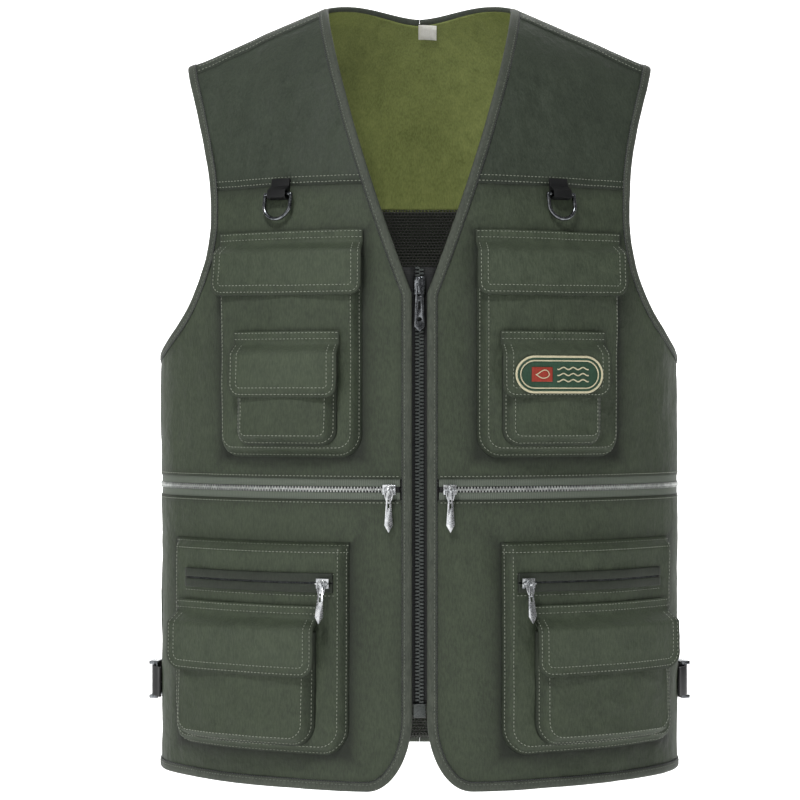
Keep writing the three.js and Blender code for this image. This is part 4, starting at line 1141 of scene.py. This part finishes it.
def pockets(side):
    """The pockets and flaps of one side."""
    sets = pocket_set(side)
    names = "chest_pocket", "small_pocket", "bellows_pocket", "face_pocket"
    for name in names:
        obj = dress(sets[name].cloth(f"{name}_{side}_cloth", 70, 0, 1.4 * MM), SHELL,
                    replaces=[f"{name}_{side}"])
    for name in ("chest_flap", "small_flap", "face_flap"):
        piece = sets[name]
        body = f"{name}_{side}"
        obj = piece.cloth(f"{body}_cloth", 44, -BAND, 1.5 * MM)
        obj.data.materials.append(FLAP)
        middle = np.array([piece.wide / 2])
        above, below = [piece.at(middle, np.array([q]))[0] for q in (-1.5 * MM, 2.5 * MM)]
        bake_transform(obj)
        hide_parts(body)
        piece.high + BAND
        for inset in (2.6 * MM, 8 * MM):
            SEAMS.on_patch(piece, body, inset, 4 * MM)
        for q in (-1.6 * MM, -6.6 * MM):
            SEAMS.across_patch(piece, q)
    for name in names:
        for inset in (2.6 * MM, 8.5 * MM):
            SEAMS.on_patch(sets[name], ROOT, inset, 6 * MM)
    for q in (2.4 * MM, 8 * MM):
        SEAMS.across_patch(sets["bellows_pocket"], q)
    pocket_zip(side, sets["bellows_pocket"])
    return sets


def rings(side):
    sign = SIDES[side]
    tab_drop, tab_thick, ring_wire = 13 * MM, 1.4 * MM, 3.5 * MM
    bar = YOKE_Z - tab_drop + tab_thick + ring_wire
    ring_out = 0.5 * MM + tab_thick + ring_wire * math.sqrt(0.5) + 0.22 * MM
    origin, level, out, up = arc_frame(sign * RING_U, bar, 0)
    half, side_z = 12.25 * MM, -9.25 * MM
    flat = [(-half, 0), (half, 0), (half, side_z)]
    flat += [(half * math.cos(t), side_z + half * math.sin(t)) for t in np.linspace(0, -math.pi, 25)[1:-1]]
    flat += [(-half, side_z)]
    points = [origin + out * ring_out + level * x + up * z for x, z in flat]
    ring = wire(f"accessory_ring_{side}_wire", points, 1.65 * MM)
    dress(ring, GUN, f"accessory_ring_{side}", [f"accessory_ring_{side}"])
    cast(f"ring_tab_{side}", WEB, ROOT, 0.35 * MM)


def straps(side):
    cast(f"adjuster_strap_{side}", WEB, ROOT, 0.4 * MM)
    cast(f"adjuster_buckle_{side}", GUN, f"adjuster_buckle_{side}", 0.5 * MM)


def badge(flap):
    """A woven pill with two raised borders, a small fish on a plain block, and three waves."""
    half, round_end = 37 * MM, 15.5 * MM
    middle_p, middle_q = 110 * MM - flap.inner, flap.top + 329 * MM
    body = "small_flap_right"

    def spot(x, y, extra):
        p, q = middle_p + np.asarray(x), middle_q - np.asarray(y)
        return flap.at(p, q, extra), flap.normal(p, q)

    def place(a, b):
        x = -half * np.cos(a * math.pi)
        past = np.maximum(np.abs(x) - (half - round_end), 0)
        high = np.sqrt(np.maximum(round_end ** 2 - past ** 2, 1e-8))
        points, _ = spot(x, high * (1 - 2 * b), 1.1 * MM)
        return points, np.stack([x, high * b], -1), np.zeros_like(x)
    dress(thicken(grid("badge_cloth", 60, 16, place), 1 * MM), BADGE, body, ["badge"])

    def line(name, x, y, section, material=CREAM, closed=True, extra=1.75 * MM, pitch=0.9 * MM):
        points, out = resample(*spot(x, y, extra), pitch, closed=closed)
        dress(sweep(name, points, out, section, closed=closed), material, body)

    turn = np.linspace(0, 2 * math.pi, 120)[:-1]
    borders = (0.9, CREAM, 0.75), (2.6, BADGE, 0.6), (4.2, CREAM, 0.45)
    for i, (inset, material, radius) in enumerate(borders):
        end = round_end - inset * MM
        x = (half - round_end) * np.sign(np.cos(turn)) + end * np.cos(turn)
        line(f"badge_border_{i}", x, end * np.sin(turn), oval(1.3 * radius * MM, radius * MM, 8), material)
    for i in range(3):
        x = np.linspace(-3 * MM, 24 * MM, 50)
        y = (5 - 5 * i) * MM + 0.9 * MM * np.sin(x / (1.35 * MM))
        line(f"badge_wave_{i}", x, y, oval(0.546 * MM, 0.42 * MM, 8), closed=False)

    def block(a, b):
        x, y = (-24 + 17 * a) * MM, (6 - 12 * b) * MM
        points, _ = spot(x, y, 1.75 * MM)
        return points, np.stack([x, y], -1), np.zeros_like(x)
    dress(thicken(grid("badge_block", 14, 10, block), 0.6 * MM), PATCH, body)
    t = np.linspace(0, 2 * math.pi, 60)[:-1]
    fish_x = (-15.5 + 5.6 * np.cos(t)) * MM
    fish_y = 3.2 * MM * np.sin(t) * (1 - 0.55 * np.cos(t + 0.3) ** 2) + 1.6 * MM * np.sin(2 * t) * 0.6
    line("badge_fish", fish_x, fish_y, oval(0.4 * MM, 0.4 * MM, 8), extra=1.95 * MM, pitch=0.8 * MM)


back()
for side in SIDES:
    shell(side)
    binding_seams(side)
    body_seams(side)
    waist(side)
    SETS = pockets(side)
    rings(side)
    straps(side)
front_zip()
cast("neck_label", LABEL, ROOT, 0.1 * MM, 1)
badge(SETS["small_flap"])
SEAMS.build()


# ---- Stage, light and camera ----

def card(name, corners, colour, glow=0.0):
    bm = bmesh.new()
    bm.faces.new([bm.verts.new(c) for c in corners])
    s = Shader(name, Roughness=0.9)
    s.surface.inputs["Base Color"].default_value = rgb(colour)
    s.surface.inputs["Emission Color"].default_value = rgb(colour)
    s.surface.inputs["Emission Strength"].default_value = glow
    obj = finish_mesh(name, bm, False)
    obj.data.materials.append(s.material)


def lamp(name, place, target, power, size):
    data = bpy.data.lights.new(name, "AREA")
    data.energy = power
    data.size = size
    obj = linked(name, data)
    obj.location = place
    obj.rotation_euler = (Vector(target) - Vector(place)).to_track_quat("-Z", "Y").to_euler()


FLOOR = -0.92
card("floor", [(-6, -6, FLOOR), (6, -6, FLOOR), (6, 6, FLOOR), (-6, 6, FLOOR)], "#ffffff", 0.62)
card("backdrop", [(-6, 3, FLOOR), (6, 3, FLOOR), (6, 3, 5), (-6, 3, 5)], "#ffffff", 1.0)
world = bpy.data.worlds.new("sky")
world.use_nodes = True
sky = world.node_tree.nodes["Background"]
sky.inputs[0].default_value = (1, 1, 1, 1)
seen = world.node_tree.nodes.new("ShaderNodeLightPath")
power = world.node_tree.nodes.new("ShaderNodeMath")
power.operation = "MAXIMUM"
power.inputs[1].default_value = 0.2
world.node_tree.links.new(seen.outputs["Is Camera Ray"], power.inputs[0])
world.node_tree.links.new(power.outputs[0], sky.inputs[1])
bpy.context.scene.world = world
lamp("key", (-0.5, -1.7, 1.7), (0, 0, -0.35), 40, 0.45)
lamp("fill", (-1.6, -2.2, 0.1), (0, 0, -0.35), 9, 1.6)
lamp("rim", (0.2, 1.6, 1.6), (0, 0, -0.2), 12, 1.2)

eye = bpy.data.cameras.new("camera")
eye.lens = 92.8
eye.sensor_width = 36
eye.shift_x = -0.0244
view = linked("camera", eye)
view.location = (0, -1.835, -0.35)
view.rotation_euler = (math.pi / 2, 0, 0)
bpy.context.scene.camera = view
bpy.context.scene.view_settings.view_transform = "Standard"
